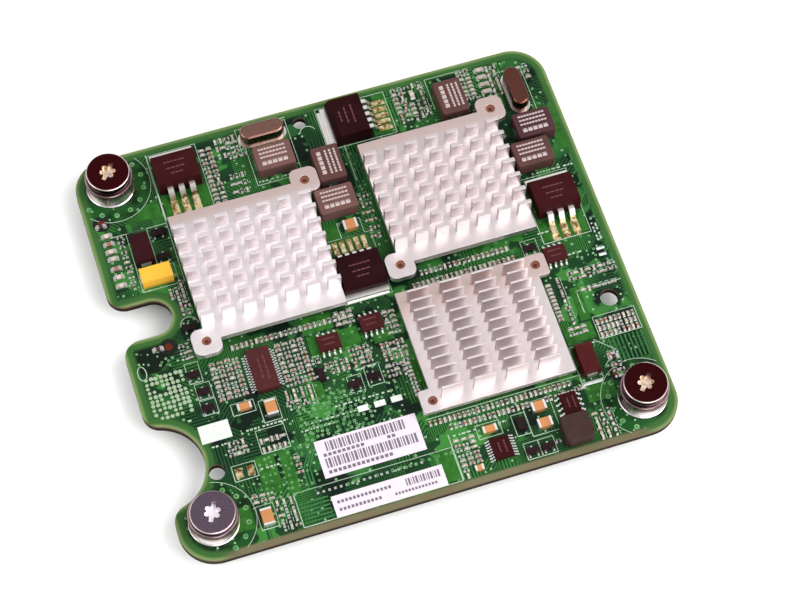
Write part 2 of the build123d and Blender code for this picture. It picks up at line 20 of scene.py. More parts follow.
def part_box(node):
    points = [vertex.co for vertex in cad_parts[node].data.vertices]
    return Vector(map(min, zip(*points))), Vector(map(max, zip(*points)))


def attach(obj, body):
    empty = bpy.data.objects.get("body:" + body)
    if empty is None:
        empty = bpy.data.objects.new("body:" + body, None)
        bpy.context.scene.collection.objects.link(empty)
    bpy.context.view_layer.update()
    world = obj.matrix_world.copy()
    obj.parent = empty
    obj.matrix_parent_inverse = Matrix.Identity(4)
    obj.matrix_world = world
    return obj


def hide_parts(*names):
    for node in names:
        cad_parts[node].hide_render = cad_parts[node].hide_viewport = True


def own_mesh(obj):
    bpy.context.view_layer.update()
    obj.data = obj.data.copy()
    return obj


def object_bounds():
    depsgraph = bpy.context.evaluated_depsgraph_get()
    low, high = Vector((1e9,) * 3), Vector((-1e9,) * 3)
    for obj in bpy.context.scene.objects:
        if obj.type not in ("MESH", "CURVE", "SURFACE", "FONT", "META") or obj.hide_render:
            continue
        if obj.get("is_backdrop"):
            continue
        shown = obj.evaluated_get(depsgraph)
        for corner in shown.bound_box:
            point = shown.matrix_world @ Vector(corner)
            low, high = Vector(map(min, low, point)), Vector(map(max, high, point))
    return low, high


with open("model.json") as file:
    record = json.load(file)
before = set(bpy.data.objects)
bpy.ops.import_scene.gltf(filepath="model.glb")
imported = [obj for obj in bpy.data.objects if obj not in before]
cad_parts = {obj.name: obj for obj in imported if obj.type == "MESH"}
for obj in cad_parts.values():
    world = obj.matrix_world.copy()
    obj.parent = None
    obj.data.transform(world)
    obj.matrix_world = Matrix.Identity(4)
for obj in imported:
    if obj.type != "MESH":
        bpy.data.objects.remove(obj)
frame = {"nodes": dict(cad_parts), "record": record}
cad_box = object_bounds()
nodes = frame["nodes"]
BODY = "card"

# %% [markdown]
# Blender works in metres, but a board is drawn in millimetres. One constant turns one into the
# other. The board's own solid tells how high its top is and how wide it is, so that nothing here
# repeats a size that the CAD model already has.

# %% Sizes taken from the frame
MM = 0.001


def sides(node):
    """A CAD node's footprint in mm: left, right, front and rear."""
    a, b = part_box(node)
    return a.x / MM, b.x / MM, a.y / MM, b.y / MM


def middle(node):
    """The middle of a CAD node's footprint and the height of its top, in mm."""
    x0, x1, y0, y1 = sides(node)
    return (x0 + x1) / 2, (y0 + y1) / 2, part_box(node)[1].z / MM


def named(start):
    """The names of the CAD nodes that begin with start."""
    return [name for name in nodes if name.startswith(start)]


LEFT, RIGHT, FRONT, REAR = sides("circuit_board")
BOTTOM, TOP = [corner.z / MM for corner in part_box("circuit_board")]
print(f"board top {TOP:.2f} mm, {RIGHT - LEFT:.1f} by {REAR - FRONT:.1f} mm")

# %% [markdown]
# The camera stands in front and a little to the left, high above the card, and looks down at it
# with a long lens. A long lens keeps the far edge almost as wide as the near one. The camera is
# aimed first and then rolled about its own line of sight by two degrees.

# %% Camera
CAMERA_AT = Vector((-73.5, -224.7, TOP + 474.3)) * MM
AIM_AT = Vector((5.59, -3.81, TOP)) * MM
ROLL = math.radians(1.92)


def add_object(name, data):
    """A new object in the scene."""
    made = bpy.data.objects.new(name, data)
    bpy.context.scene.collection.objects.link(made)
    return made


def aimed(name, data, at, sight, roll=0.0):
    """A camera or a lamp that looks along sight, rolled about that line."""
    made = add_object(name, data)
    made.location = at
    made.rotation_mode = "QUATERNION"
    made.rotation_quaternion = sight.to_track_quat("-Z", "Y") @ Quaternion((0, 0, 1), roll)
    return made


camera_data = bpy.data.cameras.new("camera")
camera_data.lens = 106.8
camera_data.sensor_width = 36
camera_data.clip_start = 0.05
camera_data.clip_end = 20
camera = aimed("camera", camera_data, CAMERA_AT, AIM_AT - CAMERA_AT, ROLL)
bpy.context.scene.camera = camera
print("camera", [round(v, 3) for v in camera.location])

# %% [markdown]
# The picture has a white ground and soft light from the right. A large lamp gives soft edges to
# the shadows, as a light tent does. Metal shows what it mirrors, so a pale room with a dimmer
# ceiling gives bright sleeves and dark screw caps.

# %% Floor and light
FLOOR_HALF = 3.0
floor_mesh = bpy.data.meshes.new("floor")
corners = [(x * FLOOR_HALF, y * FLOOR_HALF, 0) for x, y in ((-1, -1), (1, -1), (1, 1), (-1, 1))]
floor_mesh.from_pydata(corners, [], [(0, 1, 2, 3)])
floor = add_object("floor", floor_mesh)
floor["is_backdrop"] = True

# each lamp's place and width in metres, and its power in watts
LAMPS = {
    "key_lamp": ((0.62, -0.42, 0.8), 1.0, 15),
    "left_lamp": ((-0.9, 0.1, 0.6), 0.9, 5),
    "front_lamp": ((0.0, -1.0, 0.4), 0.7, 3.6),
}
for name, (at, width, power) in LAMPS.items():
    lamp = bpy.data.lights.new(name, "AREA")
    lamp.size = width
    lamp.energy = power
    aimed(name, lamp, at, -Vector(at))

world = bpy.data.worlds.new("room")
world.use_nodes = True
bpy.context.scene.world = world
bpy.context.scene.view_settings.view_transform = "Standard"
print(len(LAMPS), "lamps and a pale room")

# %% [markdown]
# Every finish is a small graph of shader nodes. Written as plain sums, such a graph is easier to
# read than as boxes and wires. A Maker adds nodes to its own tree and feeds their sockets. A Flow
# wraps one output socket: adding, multiplying or comparing two of them adds a Math node behind
# the scenes.

# %% Shader sums


class Maker:
    """Anything that adds nodes to its own tree."""

    def __init__(self, tree):
        self.tree = tree

    def node(self, kind, settings=None, inputs=None, output=0):
        """Adds a node: its settings first, then its inputs, as values or as flows."""
        made = self.tree.nodes.new(kind)
        for key, value in (settings or {}).items():
            setattr(made, key, value)
        for key, value in (inputs or {}).items():
            self.feed(made.inputs[key], value)
        return Flow(made.outputs[output])

    def feed(self, socket, value):
        """Links one flow or a list of them to a socket, or sets a plain value."""
        if isinstance(value, (Flow, list)):
            for flow in value if isinstance(value, list) else [value]:
                self.tree.links.new(flow.socket, socket)
        elif socket.type == "RGBA":
            socket.default_value = (*value, 1)
        else:
            socket.default_value = value


def math_node(operation):
    """A way to write one Math operation as a sum."""
    return lambda flow, *others: flow.math(operation, *others)


class Flow(Maker):
    """One output socket of a node, which can be used in sums."""

    def __init__(self, socket):
        super().__init__(socket.id_data)
        self.socket = socket

    def math(self, operation, *others):
        inputs = dict(enumerate((self, *others)))
        return self.node("ShaderNodeMath", {"operation": operation}, inputs)

    __add__ = __radd__ = math_node("ADD")
    __mul__ = __rmul__ = math_node("MULTIPLY")
    __sub__ = math_node("SUBTRACT")
    __truediv__ = math_node("DIVIDE")
    __gt__ = math_node("GREATER_THAN")
    __lt__ = math_node("LESS_THAN")
    __abs__ = math_node("ABSOLUTE")

    def __rsub__(self, other):
        return (self * -1) + other

    def smooth(self, start, end):
        """0 below start, 1 above end, and a soft step between."""
        inputs = {"Value": self, "From Min": start, "From Max": end}
        return self.node("ShaderNodeMapRange", {"interpolation_type": "SMOOTHSTEP"}, inputs)


flow_max = math_node("MAXIMUM")
flow_min = math_node("MINIMUM")


def flow_hypot(a, b):
    """The long side of a triangle with the short sides a and b."""
    return (a * a + b * b).math("SQRT")


def colour(code):
    """The linear colour of a code such as 2f6b3a. A colour that is linear already stays."""
    if not isinstance(code, str):
        return code
    parts = [int(code[i:i + 2], 16) / 255 for i in (0, 2, 4)]
    return tuple(c / 12.92 if c <= 0.04045 else ((c + 0.055) / 1.055) ** 2.4 for c in parts)


def mix(mask, a, b):
    """Colour a where mask is 0 and colour b where it is 1."""
    inputs = {"Factor": mask, 6: colour(a), 7: colour(b)}
    return mask.node("ShaderNodeMix", {"data_type": "RGBA"}, inputs, 2)


class Finish(Maker):
    """A material being made, with the places on the piece at hand in mm."""

    def __init__(self, name):
        self.material = bpy.data.materials.new(name)
        self.material.use_nodes = True
        super().__init__(self.material.node_tree)
        self.shader = self.tree.nodes["Principled BSDF"]
        inputs = {0: self.node("ShaderNodeTexCoord", output="Object"), "Scale": 1 / MM}
        self.place = self.node("ShaderNodeVectorMath", {"operation": "SCALE"}, inputs)
        self.normal = self.node("ShaderNodeTexCoord", output="Normal")

    def axes(self, vector=None):
        """The three parts of a vector, which is the place in mm if none is given."""
        split = self.node("ShaderNodeSeparateXYZ", inputs={0: vector or self.place})
        return [Flow(socket) for socket in split.socket.node.outputs]

    def stretched(self, x, y, z):
        """The place with each axis scaled, for grain that runs one way."""
        inputs = {0: self.place, 1: (x, y, z)}
        return self.node("ShaderNodeVectorMath", {"operation": "MULTIPLY"}, inputs)

    def noise(self, size, detail=2.0, vector=None, rough=0.5):
        """Cloudy noise from 0 to 1 whose blobs are about size mm across."""
        inputs = {"Vector": vector or self.place, "Scale": 1 / size}
        inputs.update({"Detail": detail, "Roughness": rough})
        return self.node("ShaderNodeTexNoise", inputs=inputs)

    def set(self, **values):
        """Sets or links the shader's sockets, named with _ for a space."""
        for key, value in values.items():
            self.feed(self.shader.inputs[key.replace("_", " ")], value)
        return self

    def bump(self, height, depth, strength=1.0):
        """Raises the surface by depth mm where height is 1."""
        inputs = {"Height": height, "Distance": depth * MM, "Strength": strength}
        return self.set(Normal=self.node("ShaderNodeBump", inputs=inputs))


sky = Maker(world.node_tree)
direction = sky.node("ShaderNodeTexCoord", output="Generated")
height = sky.node("ShaderNodeSeparateXYZ", inputs={0: direction}, output="Z")
shade = mix(height.smooth(0.35, 0.95), (0.6, 0.585, 0.585), (0.95, 0.93, 0.935))
background = sky.tree.nodes["Background"]
sky.feed(background.inputs["Color"], shade)
background.inputs["Strength"].default_value = 0.9

paper_floor = Finish("paper_floor").set(Base_Color=(0.93, 0.93, 0.93), Roughness=0.9)
floor.data.materials.append(paper_floor.material)
print("shader helpers ready")

# %% [markdown]
# ## Moulded and metal finishes
#
# Black mouldings are never quite black or even: the resin has a fine spark-eroded grain, and the
# warm brown cast that the light gives it here is painted into its base colour. Each moulding gets
# a fine grain, which also breaks up its gloss, and a slow drift of its colour.

# %% Moulded finishes


def moulded(name, base, roughness=0.42, grain=0.12, depth=0.012, drift=0.25, gloss=0.09):
    """A moulded resin or plastic with a fine grain."""
    finish = Finish(name)
    slow = finish.noise(3.5, 3)
    fine = finish.noise(grain, 2)
    dark = tuple(c * (1 - drift) for c in colour(base))
    light = tuple(min(1, c * (1 + drift) + 0.004) for c in colour(base))
    finish.set(Base_Color=mix(slow, dark, light), Roughness=roughness + (fine - 0.5) * 0.16)
    finish.set(Specular_IOR_Level=gloss)
    return finish.bump(fine, depth).material


# each base colour holds the warm brown cast of the light, painted in
FINISHES = {
    "regulator": moulded("regulator_resin", "310c0e", gloss=0.035),
    "chip": moulded("chip_resin", "411c1c"),
    "grid_chip": moulded("grid_chip_resin", "1d1a1a", 0.5),
    "inductor": moulded("inductor_resin", "4f3431", 0.5),
    "square_inductor": moulded("ferrite", "352420", 0.55, 0.25, 0.02),
    "tantalum_yellow": moulded("yellow_resin", "dba536", 0.4, 0.15, 0.008, 0.08),
    "tantalum_purple": moulded("purple_resin", "2c0a10", 0.4, gloss=0.05),
    "tantalum_brown": moulded("brown_resin", "3f0e0f", 0.4),
    "thermal_pad": moulded("gap_filler", "777a80", 0.8, 0.3, 0.03),
    "connector": moulded("connector_plastic", "1b1a1c", 0.45),
    "ceramic": moulded("fired_ceramic", "b0784c", 0.45, 0.1, 0.004, 0.15),
}
print(len(FINISHES), "moulded finishes")

# %% [markdown]
# Plated and bare metals differ in how sharp their mirror image is. Bright nickel is almost a
# mirror, tin is milky, and sawn aluminium is satin. A slow cloud in the gloss keeps each of them
# from looking like a perfect computer metal.

# %% Metal finishes


def metal(name, base, roughness, smear=0.08, blotch=1.2):
    """A metal with a cloudy gloss."""
    finish = Finish(name)
    cloud = finish.noise(blotch, 3)
    finish.set(Metallic=1.0, Roughness=roughness + (cloud - 0.5) * smear)
    finish.set(Base_Color=mix(cloud, tuple(c * 0.86 for c in colour(base)), base))
    return finish.bump(finish.noise(0.12), 0.004).material


FINISHES.update({
    "spring": metal("spring_wire", (0.55, 0.55, 0.56), 0.25),
    "terminal": metal("tin_end", (0.86, 0.85, 0.83), 0.38),
    "lead": metal("tinned_lead", (0.85, 0.84, 0.82), 0.3),
    "crystal_can": metal("crystal_can_plate", "88655a", 0.2, 0.1, 2.5),
    "crystal_base": metal("crystal_base_plate", (0.8, 0.77, 0.74), 0.25),
    "contact": metal("contact_gold", (0.95, 0.7, 0.32), 0.25),
})
print(len(FINISHES), "finishes")

# %% [markdown]
# Two metals change over one part. A heat sink's plate has a painted shade behind its fins,
# where the fins keep the light off, and the left sink is cleaner than the two others.
# The feet of a regulator's leads lie in old flux, so they are gold and brown, while the leads
# above are clean tin. Both places are boxes in the frame. The saw leaves fine lines along the
# aluminium: they are noise that is stretched along one axis.

# %% Metals with a painted shade or a stained end
PLATE_H = 1.85
FIN_SHADE_DEPTH = 8
FOOT_FROM_BODY = 2


def within(x, y, x0, x1, y0, y1):
    """1 inside a box on the board, else 0."""
    return (x > x0) * (x < x1) * (y > y0) * (y < y1)


def sawn_aluminium():
    finish = Finish("sawn_aluminium")
    x, y, z = finish.axes()
    cloud = finish.noise(2.0, 3)
    # painted shade: the plate's ledge behind the fins is darkened, where the fins keep the light off
    fin_shade = []
    for node in named("heat_sink"):
        x0, x1, y0, y1 = sides(node)
        on_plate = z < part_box(node)[0].z / MM + PLATE_H
        behind = (y - (y1 - FIN_SHADE_DEPTH)).smooth(0, 4)
        fin_shade.append(within(x, y, x0, x1, y0, y1 + 0.1) * behind * on_plate)
    clean = mix(cloud, (0.74, 0.68, 0.695), (0.84, 0.79, 0.805))
    aged = mix(cloud, (0.655, 0.59, 0.595), (0.745, 0.68, 0.685))
    bright = mix(x > sides("heat_sink_left")[1] + 1, clean, aged)
    finish.set(Base_Color=mix(reduce(flow_max, fin_shade), bright, (0.63, 0.5, 0.47)), Metallic=1.0)
    finish.set(Roughness=0.42 + (cloud - 0.5) * 0.08)
    return finish.bump(finish.noise(0.2, 2, finish.stretched(0.05, 1, 1)), 0.003).material


def tinned_copper():
    finish = Finish("tinned_copper")
    x, y, _ = finish.axes()
    feet = []
    for node in named("regulator_frame"):
        x0, x1, y0, y1 = sides(node)
        _, body_x1, body_y0, body_y1 = sides(node.replace("frame", "body"))
        if body_y0 - y0 > FOOT_FROM_BODY:
            y1 = body_y0 - FOOT_FROM_BODY
        elif y1 - body_y1 > FOOT_FROM_BODY:
            y0 = body_y1 + FOOT_FROM_BODY
        else:
            x0 = body_x1 + FOOT_FROM_BODY
        feet.append(within(x, y, x0 - 0.1, x1 + 0.1, y0 - 0.1, y1 + 0.1))
    stain = mix(finish.noise(0.8, 3).smooth(0.35, 0.6), "8a6a34", "e6d9b4")
    cloud = finish.noise(1.2, 3)
    tin = mix(cloud, (0.76, 0.74, 0.71), (0.88, 0.86, 0.83))
    finish.set(Base_Color=mix(reduce(flow_max, feet), tin, stain), Metallic=1.0)
    finish.set(Roughness=0.32 + cloud * 0.06)
    return finish.bump(finish.noise(0.12), 0.004).material


FINISHES["heat_sink"] = sawn_aluminium()
FINISHES["regulator_metal"] = tinned_copper()

# %% [markdown]
# The screw caps are chromed over a dark undercoat and mirror the dim ceiling. The drive recess
# and the cap's top edge are painted pale, as painted highlights where they catch the light. The
# finish finds both by the distance from the screw's axis and the depth below the top.

# %% Screw caps
CAP_TOP = 7.4
RECESS_R = 2.3
EDGE_FROM = 4.72


def screw_finish(name, plate, speckle, recess_highlight, dirt, roughness, pressed=0.0):
    """Chromed plate with fine spots in the shade speckle, and painted highlights on recess and edge."""
    finish = Finish(name)
    x, y, z = finish.axes()
    centres = [middle(node) for node in named("captive_screw")]
    near = reduce(flow_min, [flow_hypot(x - at_x, y - at_y) for at_x, at_y, _ in centres])
    top = TOP + CAP_TOP - pressed
    recess = (near < RECESS_R) * (z < top - 0.06)
    # painted highlight: the cap's top edge is paler, as if it caught the light
    edge = (near > EDGE_FROM) * (z > top - 0.34)
    spots = finish.noise(0.22, 4, rough=0.7).smooth(0.36, 0.66)
    skin = mix(edge, mix(spots, plate, speckle), (0.66, 0.57, 0.55))
    worn = finish.noise(0.7, 2).smooth(0.35, 0.65)
    # painted highlight: the recess gets a pale colour, flecked darker by wear
    drive = mix(worn, recess_highlight, tuple(c * (1 - dirt) for c in recess_highlight))
    finish.set(Base_Color=mix(recess, skin, drive), Metallic=1.0)
    finish.set(Roughness=(recess + edge) * 0.28 + finish.noise(2.0) * 0.06 + roughness)
    return finish.bump(finish.noise(0.5, 3), 0.006).material


def sleeve_finish():
    """Bright nickel on a sleeve that flares towards its foot, with painted reflections and shadow."""
    finish = Finish("turned_nickel")
    z = finish.axes()[2]
    up = 1 - flow_min(flow_max((z - (TOP + 0.5)) / 4.4, 0), 1)
    facing = finish.axes(finish.normal)
    # painted reflections: faces turned left are darkened and faces turned right warmed, as if mirroring
    # the room
    painted_dark_reflection = (facing[0] * -0.9 + facing[1] * 0.3).smooth(0.35, 0.95)
    painted_warm_reflection = (facing[0] * 0.9 + facing[1] * 0.1).smooth(0.3, 0.9)
    streaks = finish.noise(0.9, 3, finish.stretched(1, 1, 0.25))
    shade = mix(streaks, (0.7, 0.62, 0.62), (0.92, 0.86, 0.88))
    shade = mix(painted_warm_reflection, shade, (0.85, 0.55, 0.36))
    shade = mix(painted_dark_reflection, shade, (0.3, 0.2, 0.24))
    # painted shadow: the top of the sleeve, under the cap, is darkened
    shade = mix(up.smooth(0.15, 0.62), (0.34, 0.22, 0.25), shade)
    finish.set(Base_Color=shade, Metallic=1.0, Roughness=0.18 + streaks * 0.1)
    return finish.bump(up * up, 1.25).material


FINISHES["ferrule"] = sleeve_finish()
# each cap's plate and speckle colours, then the pale colour of its painted recess highlight
DARK = "320c0b", "42151a", (0.88, 0.7, 0.56)
GREY = "4f3e50", "7d6e7c", (0.95, 0.9, 0.94)
FINISHES["screw"] = screw_finish("dark_chrome", *DARK, 0.4, 0.06)
FINISHES["screw_grey"] = screw_finish("grey_chrome", *GREY, 0.12, 0.14, 1.2)
print(len(FINISHES), "finishes")

# %% [markdown]
# ## The board's green skin
#
# Solder resist is a thin green lacquer. Where copper lies under it, the green is lighter and
# stands a little proud; where it lies on bare laminate, it is darker. Tracks run in bundles that
# change direction from one part of the board to the next. That is a rule, so the shader can draw
# it: cells pick a direction, and each cell is striped along it.

# %% Solder resist
BORDER = 1.8
RIM = 0.55
EDGE_R = 8.0

# the round bay and the slot in the left edge, and the lip between them with its reach
BAY_Y, BAY_R = FRONT + 23.8, 10.1
SLOT_X, SLOT_Y, SLOT_R = LEFT + 8.4, FRONT + 59.2, 4.35
LIP = (-51.6, 0.4, 5.0)
SCREW_CLEAR = 9.0
screws = [middle(name)[:2] for name in named("ferrule")]


def board_distance(x, y, larger, hypot):
    """How far a place is from the board's outline in mm, negative inside, in flows or numbers."""
    dx, dy = abs(x) - (RIGHT - EDGE_R), abs(y) - (REAR - EDGE_R)
    beyond = larger(dx, dy)
    outline = hypot(larger(dx, 0), larger(dy, 0)) + (beyond - larger(beyond, 0)) - EDGE_R
    round_bay = BAY_R - hypot(x - LEFT, y - BAY_Y)
    slot_bay = SLOT_R - hypot(larger(x - SLOT_X, 0), y - SLOT_Y)
    return larger(larger(outline, round_bay), slot_bay)


def solder_resist():
    finish = Finish("solder_resist")
    x, y, z = finish.axes()
    up = finish.axes(finish.normal)[2]

    # cells that choose the direction of their tracks
    flat = {"Vector": finish.stretched(1, 1, 0)}
    inputs = {**flat, "Scale": 0.19, "Randomness": 0.9}
    cell = finish.node("ShaderNodeTexVoronoi", {"distance": "CHEBYCHEV"}, inputs, "Color")
    pick, pick_fill, pick_pitch = finish.axes(cell)
    diagonal, other = (x + y) * 0.7071, (x - y) * 0.7071
    across = x * (pick < 0.35) + y * (pick > 0.35) * (pick < 0.7)
    across = across + diagonal * (pick > 0.7) * (pick < 0.85) + other * (pick > 0.85)
    pitch = 0.5 + (pick_pitch > 0.6) * 0.25
    wave = (across / pitch).math("FRACT")
    track = abs(wave - 0.5).smooth(0.3, 0.22) * (pick_fill < 0.62)

    # poured copper between the bundles, and plated holes
    pour = finish.noise(7, 2).smooth(0.52, 0.56) * (pick_fill > 0.62)
    inputs = {**flat, "Scale": 0.8, "Randomness": 0.8}
    dots = finish.node("ShaderNodeTexVoronoi", None, inputs, "Distance")
    seen = finish.axes(finish.node("ShaderNodeTexVoronoi", None, inputs, "Color"))[0] > 0.36
    ring = dots.smooth(0.26, 0.21) * seen
    hole = dots.smooth(0.11, 0.09) * seen

    inside = board_distance(x, y, flow_max, flow_hypot)
    rim = inside.smooth(-RIM - 0.55, -RIM + 0.4)
    border = inside.smooth(-BORDER - 0.9, -BORDER + 0.3)

    # along the straight front edge the border is only a narrow strip of bare laminate
    straight = (y - FRONT).smooth(4.5, 2.5) * abs(x).smooth(50, 44)
    strip = inside.smooth(-1.7, -1.1) * straight
    rim, border = rim * (1 - straight), border * (1 - straight * 0.9)

    # no tracks run inside the circles round the screws, nor at the left lip
    calm_spots = []
    for at_x, at_y, reach in [(*spot, SCREW_CLEAR) for spot in screws] + [LIP]:
        away = flow_hypot(x - at_x, y - at_y)
        calm_spots.append(away.smooth(reach + 0.15, reach - 0.15))
    clear = reduce(flow_max, calm_spots)
    copper = flow_min(track * 0.75 + pour, 1) * (1 - border) * (1 - clear)

    # the greens, from the widest to the narrowest place
    drift = finish.noise(9, 3)
    deep = finish.noise(14, 2).smooth(0.42, 0.6)
    skin = mix(copper, mix(deep, "081910", "13351a"), mix(deep, "1f4b26", "34702f"))
    skin = mix(clear, skin, mix(finish.noise(5, 2).smooth(0.4, 0.6), "0a200e", "17431b"))
    skin = mix(calm_spots[-1], skin, "0c170c")
    skin = mix(ring * (1 - border), skin, "7fa37c")
    skin = mix(hole * (1 - border), skin, "1a261b")
    skin = mix(border, skin, mix(drift, "264d22", "37602e"))
    skin = mix(rim, skin, mix(drift, "5c7045", "778a57"))
    skin = mix(strip, skin, mix(drift, "5a553c", "6d674e"))

    # the sawn side shows the laminate, which is darker towards its foot
    side = 1 - abs(up).smooth(0.4, 0.6)
    layers = (z * 5.2).math("FRACT").smooth(0.3, 0.7)
    laminate = mix(layers * 0.4 + finish.noise(0.5) * 0.6, "544733", "6c5f4b")
    laminate = mix((z - BOTTOM).smooth(1.8, 0.9), laminate, "1e120b")
    finish.set(Base_Color=mix(side, skin, laminate), Specular_IOR_Level=0.1)
    finish.set(Roughness=0.35 + side * 0.4 + finish.noise(1.5) * 0.1)
    return finish.bump(copper + ring * 0.6 - hole, 0.03, 0.6).material


FINISHES["board"] = solder_resist()

# %% [markdown]
# Label stock is matt paper with a faint grain. Printing ink on the board is thick white lacquer,
# a little rough and slightly broken where the screen printed thinly. All are a slow cloud between
# two shades.

# %% Paper and ink


def clouded(name, dark, light, size, detail=2.0, roughness=0.7):
    """A dull finish between two shades, and the cloud that divides them."""
    finish = Finish(name)
    cloud = finish.noise(size, detail)
    return finish.set(Base_Color=mix(cloud, dark, light), Roughness=roughness), cloud


paper, _ = clouded("label_paper", "c6bac4", "d4c9d1", 2.0)
FINISHES["sticker"] = paper.bump(paper.noise(0.1), 0.004).material
ink, worn = clouded("white_ink", "aab2ab", "dcdedb", 0.5, 3, 0.6)
INK = ink.bump(worn, 0.01).material
ink, worn = clouded("thin_white_ink", "7d9a80", "b9c9b6", 0.4, 3, 0.6)
THIN_INK = ink.bump(worn, 0.01).material
LABEL_INK = clouded("label_ink", "4b4450", "77707c", 0.4)[0].material
MARK = clouded("laser_mark", "8f7d7a", "c3b5b1", 0.3, 3)[0].material
print("paper and three inks")

# %% [markdown]
# Each CAD node gets the finish of its material slot. A few parts of one kind come from different
# makers and differ in shade, so those have a finish of their own.

# %% Finishes onto the CAD nodes
DEEP_RESIN = moulded("deep_resin", "2e0b0c", gloss=0.03)
RED_RESIN = moulded("red_resin", "3c1516", gloss=0.06)
BLACK_RESIN = moulded("black_resin", "200709", gloss=0.02)
LIGHT_MOULDING = moulded("light_moulding", "634541", 0.5)
OWN = {
    "transistor_bodies": moulded("small_part_resin", "1c0d0f", 0.45),
    "chip_16_lead": DEEP_RESIN,
    "chip_8_lead_front": DEEP_RESIN,
    "chip_8_lead_middle": RED_RESIN,
    "chip_8_lead_left": RED_RESIN,
    "chip_8_lead_right": RED_RESIN,
    "inductor_middle": LIGHT_MOULDING,
    "inductor_rear_left": LIGHT_MOULDING,
    "inductor_right_upper": moulded("dull_moulding", "41272a", 0.5),
    "crystal_can_right": metal("dark_can_plate", "6a4238", 0.2, 0.1, 2.5),
    "regulator_body_rear_middle": BLACK_RESIN,
    "regulator_body_middle": BLACK_RESIN,
}
slots = {part["node"]: part["material_slot"] for part in frame["record"]["subparts"]}
for name, node in nodes.items():
    node.data.materials.clear()
    node.data.materials.append(OWN.get(name, FINISHES[slots[name]]))
print(len(nodes), "nodes finished")

# %% [markdown]
# ## Shapes grown by Geometry Nodes
#
# The card repeats a few small things hundreds of times: chips no longer than a millimetre, plated
# holes, solder balls, printed lines. A Geometry Nodes tree is the natural tool for each, because
# the shape is drawn once and then set down on a list of points, or swept along a list of paths.
# The class below writes such a tree with the same kind of sums as the shaders. Its inputs have
# names, so that one tree makes many sizes.

# %% A Geometry Nodes tree


class Tree(Maker):
    """A Geometry Nodes tree being made, with one geometry in and one out."""

    def __init__(self, name, **sockets):
        super().__init__(bpy.data.node_groups.new(name, "GeometryNodeTree"))
        self.sockets = self.tree.interface
        for key, kind in {"Geometry": "Geometry", **sockets}.items():
            self.sockets.new_socket(key, in_out="INPUT", socket_type="NodeSocket" + kind)
        self.sockets.new_socket("Geometry", in_out="OUTPUT", socket_type="NodeSocketGeometry")
        self.start = self.tree.nodes.new("NodeGroupInput")

    def input(self, key):
        return Flow(self.start.outputs[key])

    def attribute(self, key, kind="FLOAT"):
        """A value that each point of the incoming mesh carries."""
        return self.node("GeometryNodeInputNamedAttribute", {"data_type": kind}, {"Name": key})

    def on_points(self, shape, **more):
        """Sets a shape down on each point of the incoming mesh."""
        inputs = {0: self.input("Geometry"), "Instance": shape, **more}
        return self.node("GeometryNodeInstanceOnPoints", inputs=inputs)

    def real(self, geometry, material="Material"):
        """Turns instances into real faces with a material."""
        real = self.node("GeometryNodeRealizeInstances", inputs={0: geometry})
        inputs = {0: real, "Material": self.input(material)}
        return self.node("GeometryNodeSetMaterial", inputs=inputs)

    def finish(self, geometry):
        end = self.tree.nodes.new("NodeGroupOutput")
        self.tree.links.new(geometry.socket, end.inputs[0])


def evaluated(source):
    """The mesh that an object's modifiers make. The object itself is taken away."""
    graph = bpy.context.evaluated_depsgraph_get()
    made = bpy.data.meshes.new_from_object(source.evaluated_get(graph), depsgraph=graph)
    bpy.data.objects.remove(source)
    return made


def add_piece(name, mesh, node=None):
    """A mesh as a piece that rides on the card and stands for a CAD node, if one is given."""
    piece = add_object(name, mesh)
    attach(piece, BODY)
    if node:
        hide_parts(node)
    print(name, len(mesh.polygons), "faces")
    return piece


def grow(name, shape, mesh, slot="board", **settings):
    """Runs a tree on a mesh, with its lengths in mm, and keeps the result as a piece."""
    source = add_object(name + "_source", mesh)
    modifier = source.modifiers.new("grow", "NODES")
    modifier.node_group = shape.tree
    for item in shape.sockets.items_tree:
        if item.in_out == "INPUT" and item.name in settings:
            value = settings[item.name]
            length = item.name in ("Width", "Height", "Radius")
            modifier[item.identifier] = value * MM if length else value
    result = evaluated(source)
    result.name = name
    add_piece(name, result)


def points(name, places, **attributes):
    """A mesh of loose points in metres from places in mm, with a list of values for each name."""
    mesh = bpy.data.meshes.new(name)
    mesh.from_pydata([tuple(v * MM for v in place) for place in places], [], [])
    for key, values in attributes.items():
        kind, field = ("FLOAT_VECTOR", "vector") if key == "size" else ("FLOAT", "value")
        stored = mesh.attributes.new(key, kind, "POINT")
        for item, value in zip(stored.data, values):
            setattr(item, field, value)
    return mesh


def paths(name, lines, z=0.0):
    """A mesh of edges from lists of (x, y) or (x, y, z) in mm, raised by z mm."""
    mesh = bpy.data.meshes.new(name)
    spots, edges = [], []
    for line in lines:
        first = len(spots)
        spots += [(p[0] * MM, p[1] * MM, (z + sum(p[2:])) * MM) for p in line]
        edges += [(i, i + 1) for i in range(first, len(spots) - 1)]
    mesh.from_pydata(spots, edges, [])
    return mesh


def settled(name, mesh, finish):
    """The plain mesh of a bmesh, with its faces turned outwards and one material."""
    bmesh.ops.recalc_face_normals(mesh, faces=mesh.faces)
    data = bpy.data.meshes.new(name)
    mesh.to_mesh(data)
    mesh.free()
    data.materials.append(finish)
    return data


def plates(name, outlines, z, height, finish):
    """Flat plates from outlines in mm, which stand on z and are height mm thick."""
    mesh = bmesh.new()
    for outline in outlines:
        foot, top = [
            [mesh.verts.new((x * MM, y * MM, h * MM)) for x, y in outline] for h in (z, z + height)
        ]
        mesh.faces.new(top)
        mesh.faces.new(foot[::-1])
        for i in range(len(outline)):
            mesh.faces.new((foot[i - 1], foot[i], top[i], top[i - 1]))
    add_piece(name, settled(name, mesh, finish))


def rectangle(x0, x1, y0, y1):
    return [(x0, y0), (x1, y0), (x1, y1), (x0, y1)]


def block(x, y, half_x, half_y):
    """A rectangle from its middle and its half sizes."""
    return rectangle(x - half_x, x + half_x, y - half_y, y + half_y)


# %% [markdown]
# A printed line or a wide copper track is a ribbon: a flat rectangle swept along a path. The
# curve's normals are held upright, so that the ribbon never twists out of the board's plane.

